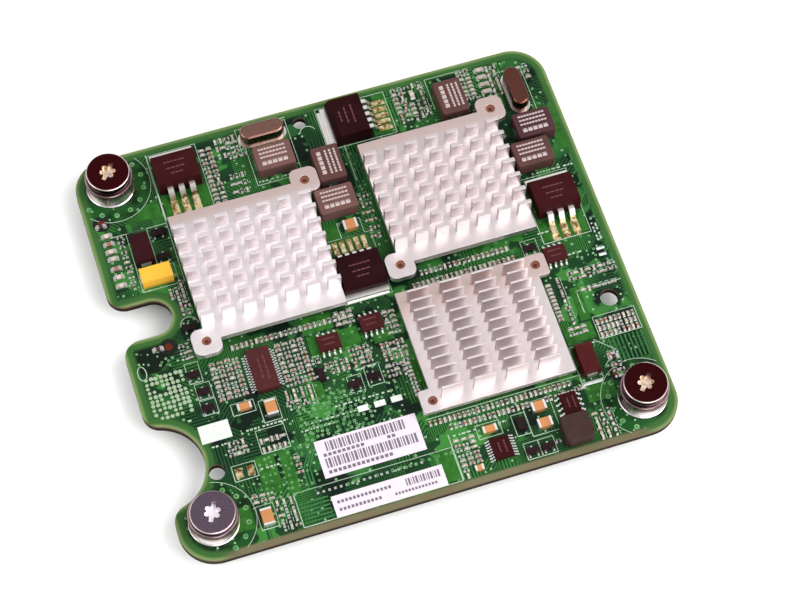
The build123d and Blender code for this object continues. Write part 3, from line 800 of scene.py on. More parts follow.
# %% The ribbon tree
ribbon = Tree("ribbon", Width="Float", Height="Float", Material="Material")
curve = ribbon.node("GeometryNodeMeshToCurve", inputs={0: ribbon.input("Geometry")})
curve = ribbon.node("GeometryNodeSetCurveNormal", {"mode": "Z_UP"}, {0: curve})
size = {"Width": ribbon.input("Width"), "Height": ribbon.input("Height")}
section = ribbon.node("GeometryNodeCurvePrimitiveQuadrilateral", {"mode": "RECTANGLE"}, size)
swept = ribbon.node("GeometryNodeCurveToMesh", inputs={0: curve, 1: section, "Fill Caps": True})
ribbon.finish(ribbon.real(swept))

# %% [markdown]
# A chip resistor or capacitor is a small brick with a metal cap at each end, which stands in two
# spots of solder. The brick is drawn one unit long, wide and high; each point carries the real
# size and the turn, and the instance is scaled to it. A seeded random tone goes with every chip,
# because no two are fired to the same shade.

# %% The chip tree
chip = Tree("chip", Cap="Float", Seed="Int", Body="Material", End="Material", Solder="Material")
cap = chip.input("Cap")


def brick(length, width, height, x, z):
    """A box of that size with its middle at x and its underside at z."""
    size = chip.node("ShaderNodeCombineXYZ", inputs={0: length, 1: width, 2: height})
    box = chip.node("GeometryNodeMeshCube", inputs={"Size": size})
    lift = chip.node("ShaderNodeCombineXYZ", inputs={0: x, 2: z + height / 2})
    return chip.node("GeometryNodeTransform", inputs={0: box, "Translation": lift})


body_brick = brick(1 - cap * 2, 0.94, 0.94, 0, 0.03)
end_at = (1 - cap) * 0.5
ends = [brick(cap, 1, 1, end_at * side, 0) for side in (-1, 1)]
solder = [brick(cap * 1.5, 1.12, 0.18, (end_at + cap * 0.45) * side, -0.02) for side in (-1, 1)]
end_pair = chip.node("GeometryNodeJoinGeometry", inputs={0: ends})
solder_pair = chip.node("GeometryNodeJoinGeometry", inputs={0: solder})
turn = chip.node("ShaderNodeCombineXYZ", inputs={2: chip.attribute("turn")})
size = chip.attribute("size", "FLOAT_VECTOR")
layers = []
for shape, finish in ((body_brick, "Body"), (end_pair, "End"), (solder_pair, "Solder")):
    set_down = chip.on_points(shape, Rotation=turn, Scale=size)
    inputs = {"Seed": chip.input("Seed")}
    tone = chip.node("FunctionNodeRandomValue", {"data_type": "FLOAT"}, inputs, 1)
    inputs = {0: set_down, "Name": "tone", "Value": tone}
    marked = chip.node("GeometryNodeStoreNamedAttribute", {"domain": "INSTANCE"}, inputs)
    layers.append(chip.real(marked, finish))
chip.finish(chip.node("GeometryNodeJoinGeometry", inputs={0: layers}))

# %% [markdown]
# Plated holes, round pads and solder balls are all turned shapes. One tree sets a short disc on
# each point, and a second one a ball. Neither needs many faces at its size.

# %% The disc tree and the ball tree
disc = Tree("disc", Height="Float", Sides="Int", Material="Material")
inputs = {"Vertices": disc.input("Sides"), "Radius": 1.0, "Depth": disc.input("Height")}
drum = disc.node("GeometryNodeMeshCylinder", {"fill_type": "NGON"}, inputs)
radius = disc.attribute("radius")
scale = disc.node("ShaderNodeCombineXYZ", inputs={0: radius, 1: radius, 2: 1.0})
disc.finish(disc.real(disc.on_points(drum, Scale=scale)))

ball = Tree("ball", Radius="Float", Material="Material")
inputs = {"Segments": 8, "Rings": 4, "Radius": ball.input("Radius")}
sphere = ball.node("GeometryNodeMeshUVSphere", inputs=inputs)
ball.finish(ball.real(ball.on_points(sphere)))


def discs(name, places, radii, height, sides_each, finish, slot="board"):
    """Round plates centred on their places, with one radius in mm each or one for all."""
    radii = radii if isinstance(radii, list) else [radii] * len(places)
    mesh = points(name + "_points", places, radius=[r * MM for r in radii])
    grow(name, disc, mesh, slot, Height=height, Sides=sides_each, Material=finish)


print("4 trees ready")

# %% [markdown]
# ## Keeping clear of the larger parts
#
# The small parts are laid out in fields, as on the real board, and a field may run under a larger
# part. Each place is tested with a ray from above: where it meets a CAD solid before it reaches
# the board, something stands there already. The board's outline and its holes are tested too.

# %% Which places are free
spots, triangles = [], []
for name, node in nodes.items():
    if name.startswith(("circuit_board", "connector")):
        continue
    first = len(spots)
    spots += [v.co.copy() for v in node.data.vertices]
    triangles += [[first + i for i in face.vertices] for face in node.data.polygons]
standing = BVHTree.FromPolygons(spots, triangles)
ABOVE, DOWN = (TOP + 20) * MM, Vector((0, 0, -1))
EDGE_GAP, SCREW_GAP, HOLE_GAP, PART_GAP = 1.9, 6.4, 0.9, 0.12
PROUD = 0.02

# the middle and the radius of each locating hole
HOLES = [
    (RIGHT - 6.1, FRONT + 33.6, 2.1), (LEFT + 11.8, FRONT + 19.6, 1.8), (LEFT + 54.0, REAR - 4.2, 1.55),
]
ROUNDS = [(*spot, SCREW_GAP) for spot in screws] + [(x, y, r + HOLE_GAP) for x, y, r in HOLES]
taken = []


def on_board(x, y, margin):
    """Whether a place is on the board, at least margin mm from its outline."""
    return board_distance(x, y, max, math.hypot) < -margin


def is_free(x, y, half_x, half_y):
    """Whether a small part of that half size fits between the larger ones."""
    if not on_board(x, y, EDGE_GAP) or any(math.hypot(x - a, y - b) < r for a, b, r in ROUNDS):
        return False
    for x0, x1, y0, y1 in taken:
        if x0 - half_x < x < x1 + half_x and y0 - half_y < y < y1 + half_y:
            return False
    corners = block(x, y, half_x + PART_GAP, half_y + PART_GAP)
    for i, j in [(x, y)] + corners:
        hit = standing.ray_cast(Vector((i * MM, j * MM, ABOVE)), DOWN)[0]
        if hit is not None and hit.z > (TOP + PROUD) * MM:
            return False
    return True


print(len(triangles), "triangles to keep clear of")

# %% [markdown]
# The larger chips are placed one by one, where they stand out: the pale column beside the rear
# left screw and the one behind the right crystal, and single ones between the big parts. Each
# has its place, its turn in degrees and its kind.

# %% Larger chips, one by one
LARGE = [
    (-52.6, 31.2, 0, "c"), (-52.6, 29.1, 0, "t"), (-52.6, 27.1, 0, "c"), (-52.6, 25.2, 0, "c"),
    (-52.6, 22.6, 0, "t"), (-52.6, 20.4, 0, "c"), (-52.6, 18.2, 0, "c"), (41.6, 47.6, 0, "c"),
    (41.6, 45.6, 0, "c"), (41.6, 43.6, 0, "c"), (41.6, 41.6, 0, "c"), (-2.9, 48.3, 0, "d"),
    (-53.2, 33.9, 0, "d"), (24.6, 46.0, 90, "c"), (46.2, -31.4, 0, "d"), (-49.0, 0.6, 0, "d"),
    (-43.6, 12.6, 90, "d"), (3.4, 0.2, 90, "d"), (-45.0, -28.4, 0, "d"), (39.7, 36.0, 0, "t"),
]
LARGE_SIZE = (1.9, 1.0, 0.62)
large = [row for row in LARGE if is_free(row[0], row[1], 0.9, 0.5)]
for x, y, turned, _ in large:
    half_x, half_y = (0.6, 1.1) if turned else (1.1, 0.6)
    taken.append((x - half_x, x + half_x, y - half_y, y + half_y))
print(len(large), "larger chips")

# %% [markdown]
# Each field below is a block of the board where chips stand in rows: its four sides, the pitch
# each way, the turn, and which kinds stand there. A letter picks the kind: t for a tan
# capacitor, c for a pale ceramic one, d for a dark resistor. Some places stay empty, as on a
# real board, and those get a bare pad. Beside most places there is a printed tick.

# %% Fields of small chips
FIELDS = [
    (-26.2, -23.6, 31.8, 47.0, 1.7, 1.2, 0, "cctd"), (-22.6, -20.6, 43.5, 47.5, 1.3, 2.0, 90, "cc"),
    (-21.6, -17.8, 33.4, 38.4, 1.35, 2.1, 90, "ccd"), (-19.8, -16.9, 42.4, 48.2, 1.4, 1.3, 0, "cd"),
    (-49.9, -49.7, 17.0, 31.0, 1.5, 1.3, 0, "dc"), (-55.0, -54.8, 17.4, 31.6, 1.5, 1.9, 90, "c"),
    (-42.6, -38.9, 7.6, 15.4, 1.35, 1.5, 90, "dtd"), (-44.0, -38.8, -3.4, 0.6, 1.4, 1.5, 0, "dc"),
    (20.6, 24.2, 39.8, 48.6, 1.65, 1.2, 0, "cctd"), (25.4, 27.6, 40.0, 48.6, 1.5, 1.2, 90, "cdd"),
    (36.9, 39.2, 40.8, 49.0, 1.6, 1.1, 0, "ccd"), (43.4, 45.6, 40.6, 47.6, 1.5, 1.4, 90, "dct"),
    (50.6, 53.4, 42.6, 47.0, 1.6, 1.5, 0, "dc"), (39.6, 41.4, 29.0, 36.4, 1.3, 1.3, 90, "dt"),
    (11.4, 33.6, 3.1, 3.2, 1.12, 1.3, 90, "ct"), (12.2, 33.0, 1.2, 1.3, 1.12, 1.3, 90, "cdt"),
    (9.6, 33.6, -1.5, -1.4, 1.12, 1.3, 90, "ctc"), (4.9, 7.6, 13.2, 24.6, 1.4, 2.1, 0, "dt"),
    (-33.4, -6.6, -3.9, -3.8, 1.12, 1.3, 90, "ctd"), (-38.8, -31.8, -15.4, -5.6, 1.75, 1.1, 0, "tctd"),
    (-25.6, -18.4, -16.4, -5.6, 1.75, 1.1, 0, "tctd"), (-25.2, -18.4, -21.6, -18.0, 1.75, 1.2, 90, "cd"),
    (-17.4, -9.4, -16.0, -12.6, 1.2, 1.7, 90, "ctd"), (-8.6, -4.4, -16.0, -11.8, 1.7, 1.2, 0, "ctd"),
    (-9.2, -5.9, -5.6, -2.6, 1.5, 1.3, 0, "cc"), (-1.8, 4.4, -16.6, -12.4, 1.2, 1.6, 90, "ctc"),
    (1.2, 4.6, -11.0, -5.6, 1.6, 1.3, 0, "ccd"), (2.3, 5.0, -27.0, -17.6, 1.6, 0.98, 0, "cctd"),
    (-1.9, 1.4, -21.0, -18.0, 1.6, 1.2, 0, "dc"), (-33.6, -28.2, -29.4, -25.4, 1.2, 2.1, 90, "cc"),
    (-40.4, -36.4, -28.6, -25.6, 1.5, 1.3, 0, "cd"), (-27.4, -27.2, -36.6, -32.6, 1.5, 1.7, 0, "ct"),
    (-34.4, -30.6, -48.0, -41.8, 1.5, 1.5, 90, "dcd"), (-38.6, -34.8, -40.6, -38.6, 1.7, 1.3, 0, "ct"),
    (2.6, 35.6, -34.4, -34.3, 1.1, 1.3, 90, "ctd"), (6.6, 30.6, -36.5, -36.4, 1.1, 1.3, 90, "cdt"),
    (6.6, 11.2, -48.4, -39.6, 1.75, 1.2, 0, "cctt"), (31.2, 38.6, -36.4, -35.6, 1.5, 1.4, 0, "cd"),
    (38.2, 38.3, -19.4, -9.4, 1.5, 0.98, 0, "cct"), (40.6, 41.2, -20.6, -9.8, 1.6, 1.2, 90, "cd"),
    (43.8, 54.4, -10.6, -8.6, 1.45, 1.4, 0, "cd"), (45.4, 53.8, -13.8, -13.0, 1.45, 1.3, 0, "cc"),
    (45.6, 54.2, -25.6, -21.4, 1.05, 1.65, 90, "ct"), (39.4, 43.4, -23.6, -21.6, 1.5, 1.3, 0, "cc"),
    (37.4, 41.6, -48.6, -42.6, 1.6, 1.4, 90, "cdt"), (45.6, 47.4, -36.0, -29.4, 1.4, 1.4, 0, "td"),
    (26.4, 28.6, -46.8, -45.6, 1.4, 1.2, 0, "cd"), (43.0, 44.4, 1.4, 3.6, 1.2, 1.2, 0, "d"),
]
SMALL = (1.0, 0.52, 0.4)
PAD_OUT = 0.42
TICK_HALF = 0.5
FILLED_SHARE, TICK_SHARE, CROSS_SHARE = 0.86, 0.7, 0.14
KINDS = {"t": [], "c": [], "d": []}
ticks, bare = [], []


def grid(x0, x1, y0, y1, step_x, step_y):
    """The places of a block, from its four sides and the pitch each way."""
    for i in range(int((x1 - x0) / step_x) + 1):
        for j in range(int((y1 - y0) / step_y) + 1):
            yield x0 + i * step_x, y0 + j * step_y


draw = random.Random(7)
for *area, step_x, step_y, turned, kinds in FIELDS:
    along = (0, 1) if turned else (1, 0)
    half = (0.32, 0.6) if turned else (0.6, 0.32)
    for x, y in grid(*area, step_x, step_y):
        if not is_free(x, y, *half):
            continue
        if draw.random() < FILLED_SHARE:
            across = 90 if min(step_x, step_y) >= 1.2 and draw.random() < CROSS_SHARE else 0
            spin = turned + across + draw.gauss(0, 1.2)
            KINDS[draw.choice(kinds)].append((x, y, spin, SMALL))
        else:
            bare += [(x + s * PAD_OUT * along[0], y + s * PAD_OUT * along[1]) for s in (-1, 1)]
        if draw.random() < TICK_SHARE:
            x, y = x + along[1] * step_x * 0.5, y + along[0] * step_y * 0.5
            s = TICK_HALF
            ticks.append([(x - s * along[0], y - s * along[1]), (x + s * along[0], y + s * along[1])])
print({k: len(v) for k, v in KINDS.items()}, len(ticks), "ticks")

# %% [markdown]
# No two chips are fired to quite the same shade. The chip tree gives every chip a random tone,
# and the finish of each kind runs from a dark to a light shade with it.

# %% Small and larger chips


def toned(name, dark, light):
    """A resin or ceramic whose shade goes with each chip's own tone."""
    finish = Finish(name)
    tone = finish.node("ShaderNodeAttribute", {"attribute_name": "tone"}, output="Fac")
    shade = tone * 0.8 + finish.noise(0.3) * 0.2
    finish.set(Base_Color=mix(shade, dark, light), Roughness=0.45)
    return finish.bump(finish.noise(0.1), 0.004).material


LOOKS = {
    "t": ("tan", "ceramic", toned("tan_ceramic", "6b3d32", "9a664f")),
    "c": ("pale", "ceramic", toned("pale_ceramic", "8a7c70", "cbbfae")),
    "d": ("dark", "chip", toned("dark_resistor", "1c1516", "39282a")),
}
SOLDER = metal("solder", (0.6, 0.6, 0.58), 0.35, 0.15, 0.3)
CHIP_END = metal("chip_end", (0.58, 0.53, 0.5), 0.42, 0.12, 0.3)
for seed, (kind, rows) in enumerate(KINDS.items()):
    word, slot, body = LOOKS[kind]
    rows += [(x, y, turned, LARGE_SIZE) for x, y, turned, its_kind in large if its_kind == kind]
    turns = [math.radians(row[2]) for row in rows]
    sizes = [tuple(v * MM for v in row[3]) for row in rows]
    mesh = points(word, [(x, y, TOP) for x, y, _, _ in rows], turn=turns, size=sizes)
    finishes = {"Body": body, "End": CHIP_END, "Solder": SOLDER}
    grow(f"small_chips_{word}", chip, mesh, slot, Cap=0.26, Seed=seed, **finishes)

# %% [markdown]
# Bare pads are thin squares of solder. Test pads stand in a square pattern at the left, and the
# rows of dots along the front belong to parts on the other side.

# %% Bare pads and test pads
PAD_H = 0.04
PAD_HALF = 0.27
PAD_ROOM = 0.3
TEST_AT, TEST_PITCH, TEST_SHAKE, TEST_SHARE = (-53.6, -15.6), (1.12, 1.08), 0.1, 0.88
bare += [(-25.4 + i * 1.3, -42.4) for i in range(19)] + [(x, 33.6) for x in (-35.7, -33.2, -30.7)]
squares = [block(x, y, PAD_HALF, PAD_HALF) for x, y in bare if is_free(x, y, PAD_ROOM, PAD_ROOM)]
plates("bare_pads", squares, TOP, PAD_H, SOLDER)

draw = random.Random(3)
tests = []
for i in range(8):
    for j in range(10):
        x = TEST_AT[0] + i * TEST_PITCH[0] + draw.uniform(-TEST_SHAKE, TEST_SHAKE)
        y = TEST_AT[1] + j * TEST_PITCH[1] + draw.uniform(-TEST_SHAKE, TEST_SHAKE)
        if draw.random() < TEST_SHARE and is_free(x, y, PAD_ROOM, PAD_ROOM):
            tests.append((x, y, TOP + PAD_H / 2))
TEST_TIN = metal("dull_test_tin", "b4c8a8", 0.5, 0.15, 0.6)
radii = [draw.choice((0.4, 0.46, 0.5)) for _ in tests]
discs("test_pads", tests, radii, PAD_H, 10, TEST_TIN, "terminal")

# %% [markdown]
# ## Print on the board
#
# White ink outlines the parts, and a circle round each screw keeps copper away from its sleeve.
# Every printed line is a path for the ribbon tree. The circles break off at the board's edge.
# Each box, here and below, gives its left, right, front and rear side.

# %% Printed lines


def frame_line(x0, x1, y0, y1):
    """A closed rectangle as a path."""
    return rectangle(x0, x1, y0, y1) + [(x0, y0)]


def arc(x, y, radius, start=0, end=360, steps=72):
    """A part of a circle as a path."""
    turns = [math.radians(start + (end - start) * i / steps) for i in range(steps + 1)]
    return [(x + radius * math.cos(a), y + radius * math.sin(a)) for a in turns]


def cut(line, margin=1.2):
    """Breaks a path where it leaves the board."""
    parts = [[]]
    for spot in line:
        if on_board(*spot, margin):
            parts[-1].append(spot)
        else:
            parts.append([])
    return [part for part in parts if len(part) > 1]


CIRCLE_R = 9.15
circles = [part for x, y in screws for part in cut(arc(x, y, CIRCLE_R))]
BOXES = [
    (-30.5, 5.2, -49.1, -41.0), (-38.6, -27.2, 31.4, 48.6), (-16.3, -5.6, 33.6, 48.6),
    (1.7, 18.4, 37.6, 48.9), (-6.4, 4.6, -1.4, 14.9), (-2.2, 3.2, 14.9, 18.8),
    (41.0, 52.3, -0.3, 16.9), (-44.6, -41.6, -9.6, -4.6), (-43.8, -40.4, -13.9, -10.0),
    (-43.8, -40.3, -17.8, -14.2), (-11.5, -8.3, -22.3, -18.3), (-7.3, -3.8, -21.9, -16.9),
    (35.8, 39.4, -1.9, 1.8), (20.2, 23.5, -48.9, -45.0), (23.6, 27.0, -48.9, -45.0),
    (11.6, 17.0, -41.2, -37.9), (19.8, 22.9, -43.0, -37.9), (23.0, 29.3, -44.0, -36.0),
    (-39.2, -35.3, -47.0, -41.5), (-31.6, -27.6, -23.3, -18.0), (-37.6, -32.5, -19.8, -17.0),
    (-41.5, -36.3, -34.7, -31.0), (-48.3, -43.5, 20.8, 30.6), (-48.4, -40.0, 15.2, 20.4),
    (37.4, 42.4, -35.4, -26.4), (-34.2, -27.8, -30.2, -24.6), (45.0, 54.8, -26.4, -20.8),
]
lines = [frame_line(*box) for box in BOXES]
lines += [
    [(-38.8, 31.0), (-38.8, 49.0)], [(-38.8, 15.2), (-38.8, 31.0)], [(-52.0, 30.6), (-38.8, 30.6)],
    [(-53.9 + 0.95 * a, -4.0 + 1.7 * b) for a, b in arc(0, 0, 1, 0, 360, 20)],
    arc(-40.7, 4.4, 2.0, 0, 180, 16), arc(-1.4, 43.4, 1.9, 20, 160, 14),
    [(28.6, 40.6), (28.6, 49.0), (36.2, 49.0), (36.2, 40.6)], [(5.6, 28.4), (5.6, 47.0)],
    [(44.4, 45.8), (51.2, 45.8), (51.2, 33.0)], [(-17.4, 42.0), (-17.4, 49.2), (-5.4, 49.2)],
    [(2.0, -33.2), (37.8, -33.2)], [(5.4, -38.0), (5.4, -49.0)],
    [(43.8, -19.2), (43.8, -13.6), (54.4, -13.6)], [(43.4, -26.0), (47.2, -29.6), (43.6, -33.0)],
]

# %% [markdown]
# Beside many parts the print is a row of short plain dashes. Each row below has two ends and the
# place across it: a flat row has its two x values first and then y, and an upright one has x
# first and then its two y values.

# %% Rows of dashes
DASH_ROWS = [
    (-24.6, -11.6, -26.4, 0), (-24.6, -16.0, -27.7, 0), (-36.0, -26.6, -23.9, 0), (-16.0, -2.0, -24.2, 0),
    (54.9, -5.2, 0.6, 90), (53.0, -3.0, 1.8, 90), (53.8, -2.8, 1.8, 90), (54.9, -21.0, -14.4, 90),
    (-55.4, 17.4, 30.8, 90), (-47.4, -40.4, -25.4, 0), (-40.0, -36.6, -28.2, 0), (47.0, 53.4, -15.6, 0),
    (45.0, 48.4, -4.4, 0), (22.0, 27.4, 48.9, 0), (-25.6, -18.2, 49.0, 0), (1.6, 4.4, 40.8, 0),
    (42.2, 45.2, 49.0, 0), (6.4, 18.6, -38.6, 0), (30.2, 36.4, -41.6, 0), (28.6, 30.6, -47.6, 0),
    (-18.6, -12.4, -11.4, 0), (-9.0, -4.4, -17.2, 0), (-35.6, -31.2, -33.4, 0), (38.6, 44.0, -26.6, 0),
    (36.8, 44.4, 2.6, 0), (-15.8, -6.6, 34.4, 0), (-37.8, -28.4, 49.2, 0), (-52.4, -46.6, -17.9, 0),
    (45.4, 54.6, 17.6, 0),
]
dash_lines = []
draw = random.Random(5)
for first, second, third, turned in DASH_ROWS:
    spot, end, fixed = (second, third, first) if turned else (first, second, third)
    while spot < end:
        length = draw.choice((0.35, 0.6, 0.6, 0.9))
        pair = [(spot, fixed), (min(spot + length, end), fixed)]
        pair = [(b, a) for a, b in pair] if turned else pair
        if all(is_free(x, y, 0.1, 0.3) for x, y in pair):
            dash_lines.append(pair)
        spot += length + draw.choice((0.28, 0.28, 0.7))
bars = [[(37.2, -35.8), (42.2, -35.8)], [(51.8, -4.95), (53.7, -4.95)], [(51.9, -6.55), (53.6, -6.55)]]
INK_H = 0.03
PRINTS = [
    ("dashes", dash_lines, 0.4, THIN_INK), ("circles", circles, 0.13, THIN_INK),
    ("lines", lines, 0.2, THIN_INK), ("ticks", ticks, 0.14, THIN_INK), ("bars", bars, 0.7, INK),
]
for kind, drawn, width, finish in PRINTS:
    mesh = paths(kind, drawn, TOP + INK_H / 2)
    grow("printed_" + kind, ribbon, mesh, Width=width, Height=INK_H, Material=finish)
BLANKS = [(-45.9, -39.1, -24.2, -19.9)] + [(x, x + 2.5, -27.1, -25.7) for x in (-11.4, -7.6, -3.8)]
plates("printed_blanks", [rectangle(*box) for box in BLANKS], TOP, INK_H, INK)
taken += BLANKS

# %% [markdown]
# ## Copper under the resist
#
# Where the board carries a heavy current, whole areas are filled with copper, and the lacquer over
# them is a clear bright green. Beside them run bundles of wide tracks. The areas are thin plates,
# just proud of the board, and the bundles are ribbons.

# %% Pours and wide tracks


def resist_over_copper(name, dark, light):
    """Lacquer over solid copper: brighter, with faint pits where the copper is etched."""
    finish = Finish(name)
    cloud = finish.noise(1.6, 4, rough=0.65).smooth(0.3, 0.7)
    finish.set(Base_Color=mix(cloud, dark, light), Specular_IOR_Level=0.1)
    finish.set(Roughness=0.3 + finish.noise(0.8) * 0.15)
    return finish.bump(finish.noise(0.5, 3), 0.01).material


POUR = resist_over_copper("pour_resist", "1f4d18", "2d6524")
TRACK = resist_over_copper("track_resist", "265a2b", "346c3b")
COPPER_H = 0.02
POUR_BOXES = [
    (-17.5, -10.4, -5.8, -1.8), (-9.6, -5.6, -11.2, -6.8), (-17.2, -9.6, -12.0, -6.4),
    (-3.0, 1.6, -12.4, -8.6), (42.4, 44.8, -21.0, -12.6), (37.8, 44.4, -25.6, -21.4),
    (37.4, 44.0, -40.2, -36.4), (1.6, 5.2, -48.6, -40.8), (-31.0, -28.4, -40.8, -30.6),
    (-36.2, -32.0, -39.6, -30.6), (13.2, 18.2, 38.0, 40.2), (15.4, 18.2, 40.2, 48.6),
    (41.2, 52.0, 0.2, 5.2), (-5.2, -2.4, 15.2, 18.4), (2.4, 6.4, -24.6, -18.6),
    (-6.0, 3.6, 12.6, 14.6), (-21.6, -17.0, -22.4, -17.2), (40.6, 44.6, 36.8, 40.0),
    (-44.4, -40.2, -46.0, -40.6), (52.6, 55.0, 22.0, 34.0),
]
outlines = [
    [(-46.0, 33.2), (-39.2, 32.0), (-39.2, 37.4), (-43.0, 36.0)],
    rectangle(-38.2, -26.9, 31.6, 37.6),
]
outlines += [rectangle(*box) for box in POUR_BOXES]
plates("copper_pours", outlines, TOP, COPPER_H, POUR)


def bundle(path, dx, dy, count):
    """One path set down several times, each time dx and dy mm further on."""
    return [[(x + i * dx, y + i * dy) for x, y in path] for i in range(count)]


wide = bundle([(46.6, -33.0), (46.6, -26.8)], 0.95, 0, 9)
wide += bundle([(-30.0, -48.2), (-23.6, -48.2)], 0, 0.9, 6)
wide += bundle([(6.4, 46.6), (6.4, 39.0), (4.8, 36.4), (4.8, 33.6)], 0.8, 0, 2)
wide += bundle([(5.3, 12.8), (5.3, 34.6), (4.9, 36.0)], 0.7, 0, 4)
for i in range(3):
    x = -25.4 - i * 0.75
    wide.append([(x + 2.8, -31.0 - i * 0.4), (x, -36.4), (x, -40.4)])
wide += bundle([(34.0, 0.4), (36.4, -1.4), (36.4, -2.8)], 0.8, 0, 3)
wide += bundle([(53.4, -12.0), (54.4, -11.4), (54.4, -9.6)], 0, 3, 11)
mesh = paths("wide", wide, TOP + COPPER_H / 2)
grow("wide_tracks", ribbon, mesh, Width=0.42, Height=COPPER_H, Material=TRACK)

# %% [markdown]
# The copper beyond a regulator's leads carries a film of solder and old flux, which is why it looks
# gold and brown. Each lead has its own pad.

# %% Pads under the leads
flux = Finish("fluxed_solder")
stain = flux.noise(1.1, 3).smooth(0.35, 0.65)
flux.set(Base_Color=mix(stain, "6b4a1f", "d8c79a"), Metallic=0.8, Roughness=0.35)
FLUX = flux.bump(flux.noise(0.6), 0.05).material

# where a regulator's leads point, their number and pitch, and the pads' far end and width
LEAD_PADS = {
    "rear_left": ("front", 3, 2.54, 10.2, 1.7), "right": ("front", 3, 2.54, 10.4, 1.7),
    "rear_middle": ("right", 5, 1.7, 9.8, 1.15), "middle": ("rear", 5, 1.7, 9.9, 1.15),
}
PADS_FROM = 6.6
pads = []
for name, (side, count, pitch, end, width) in LEAD_PADS.items():
    x, y, _ = middle("regulator_body_" + name)
    out, half_length = (PADS_FROM + end) / 2, (end - PADS_FROM) / 2
    for i in range(count):
        offset = (i - (count - 1) / 2) * pitch
        if side == "right":
            pads.append(block(x + out, y + offset, half_length, width / 2))
        else:
            pads.append(block(x + offset, y + (out if side == "rear" else -out), width / 2, half_length))
pads += [rectangle(-41.0, -39.4, -34.1, -31.8), rectangle(-38.4, -36.8, -34.1, -31.8)]
plates("lead_pads", pads, TOP + COPPER_H, 0.06, FLUX)
TABS = [
    (1.9, 5.0, 38.0, 47.8), (-5.8, 4.0, -1.3, 2.0), (-38.1, -28.3, 44.0, 48.1), (41.9, 51.7, 12.0, 16.3),
]
TAB_TIN = metal("tab_tin", (0.88, 0.86, 0.84), 0.3)
tabs = [rectangle(*box) for box in TABS]
plates("tab_solder", tabs, TOP + COPPER_H, 0.08, TAB_TIN)

# %% [markdown]
# Round the screws, a circle of plated holes ties the card's ground to the chassis. Three round
# marks without lacquer let the assembly machine find the board.

# %% Plated holes and machine marks
RING_R, RING_COUNT, RING_TURN = 7.5, 14, 9
LARGE_VIA, SMALL_VIA, TINY_VIA = 0.62, 0.38, 0.3
HOLE_SHARE = 0.42
VIA_SHAKE = 0.3
stitches = []
for x, y in screws:
    for i in range(RING_COUNT):
        turned = math.radians(i * 360 / RING_COUNT + RING_TURN)
        stitches.append((x + RING_R * math.cos(turned), y + RING_R * math.sin(turned), LARGE_VIA))
draw = random.Random(11)

# blocks of plated holes: the four sides, the pitch, and the share of places that have a hole
VIA_FIELDS = [
    (-24.0, -8.0, -30.0, -20.6, 1.25, 0.9), (-20.0, 6.0, -42.2, -41.6, 1.3, 0.8),
    (46.0, 54.0, 18.0, 44.0, 2.1, 0.6), (-37.0, -23.0, -41.0, -30.0, 1.4, 0.75),
    (-57.0, -46.0, -4.0, 3.0, 1.6, 0.5), (6.0, 9.0, 10.0, 36.0, 1.4, 0.5),
    (44.0, 54.0, -19.0, -1.0, 1.8, 0.5), (-28.0, -5.0, -33.0, -17.0, 1.9, 0.4),
    (30.0, 44.0, -49.0, -30.0, 2.0, 0.5), (-16.0, 6.0, -24.0, -2.0, 1.8, 0.45),
    (18.0, 46.0, 36.0, 49.0, 2.0, 0.4), (-38.0, -8.0, -3.6, -2.4, 1.3, 0.7),
]
for *area, step, share in VIA_FIELDS:
    for x, y in grid(*area, step, step):
        if draw.random() < share:
            x += draw.uniform(-VIA_SHAKE, VIA_SHAKE)
            y += draw.uniform(-VIA_SHAKE, VIA_SHAKE)
            if is_free(x, y, 0.1, 0.1):
                stitches.append((x, y, TINY_VIA if step > 1.3 else SMALL_VIA))
stitches = [(x, y, r) for x, y, r in stitches if on_board(x, y, 1.5)]
RING = resist_over_copper("ring_resist", "3f7440", "6f9c6a")
HOLE = moulded("plated_hole", "141a14", 0.6)
FILLED = moulded("filled_hole", "335c36", 0.5)
COPPER = metal("bare_copper", "743425", 0.5)
RING_H = 0.05
RING_Z = TOP + RING_H / 2
at = [(x, y, RING_Z) for x, y, _ in stitches]
discs("via_rings", at, [r for _, _, r in stitches], RING_H, 12, RING)
at = [(x, y, RING_Z + 0.01) for x, y, _ in stitches]
discs("via_holes", at, [r * HOLE_SHARE for _, _, r in stitches], RING_H, 8, FILLED)
MACHINE_MARKS = [(-52.9, 34.7), (-46.6, 0.6), (45.6, -35.0)]
discs("mark_grounds", [(x, y, TOP + 0.012) for x, y in MACHINE_MARKS], 2.0, 0.02, 24, HOLE)
discs("machine_marks", [(x, y, TOP + 0.02) for x, y in MACHINE_MARKS], 0.85, 0.03, 20, COPPER)

# %% [markdown]
# The drilled ears of the heat sinks aren't empty: a brown head sits a little down in each hole. Its
# place follows from the corner of the heat sink's box and the ear's size.

# %% Heads in the ears
HEAD = moulded("brown_head", "80503f", 0.5, 0.2, gloss=0.2)
HEAD_R = 1.04
HEAD_H = 0.5
HEAD_DOWN = 0.45

# how far in from the box's corner the hole is, each way, and how thick the ear is
EAR_SIZES = {"heat_sink_front": (2.7, 2.55, 1.4)}
LARGE_EAR = (3.2, 3.2, 1.8)
heads = []
for name in named("heat_sink"):
    x0, x1, y0, y1 = sides(name)
    in_x, in_y, thick = EAR_SIZES.get(name, LARGE_EAR)
    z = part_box(name)[0].z / MM + thick - HEAD_DOWN - HEAD_H / 2
    heads += [(x1 - in_x, y1 - in_y, z), (x0 + in_x, y0 + in_y, z)]
MIDDLE = moulded("head_middle", "4a281f", 0.5)
discs("ear_heads", heads, HEAD_R, HEAD_H, 16, HEAD, None)
middles = [(x, y, z + 0.03) for x, y, z in heads]
discs("ear_head_middles", middles, HEAD_R * 0.5, HEAD_H, 12, MIDDLE, None)

# %% [markdown]
# ## Solder balls under the covered chips
#
# The three large chips stand on hundreds of solder balls. Only the outer two rows can be seen,
# from low down under a heat sink's edge, so only those are made.

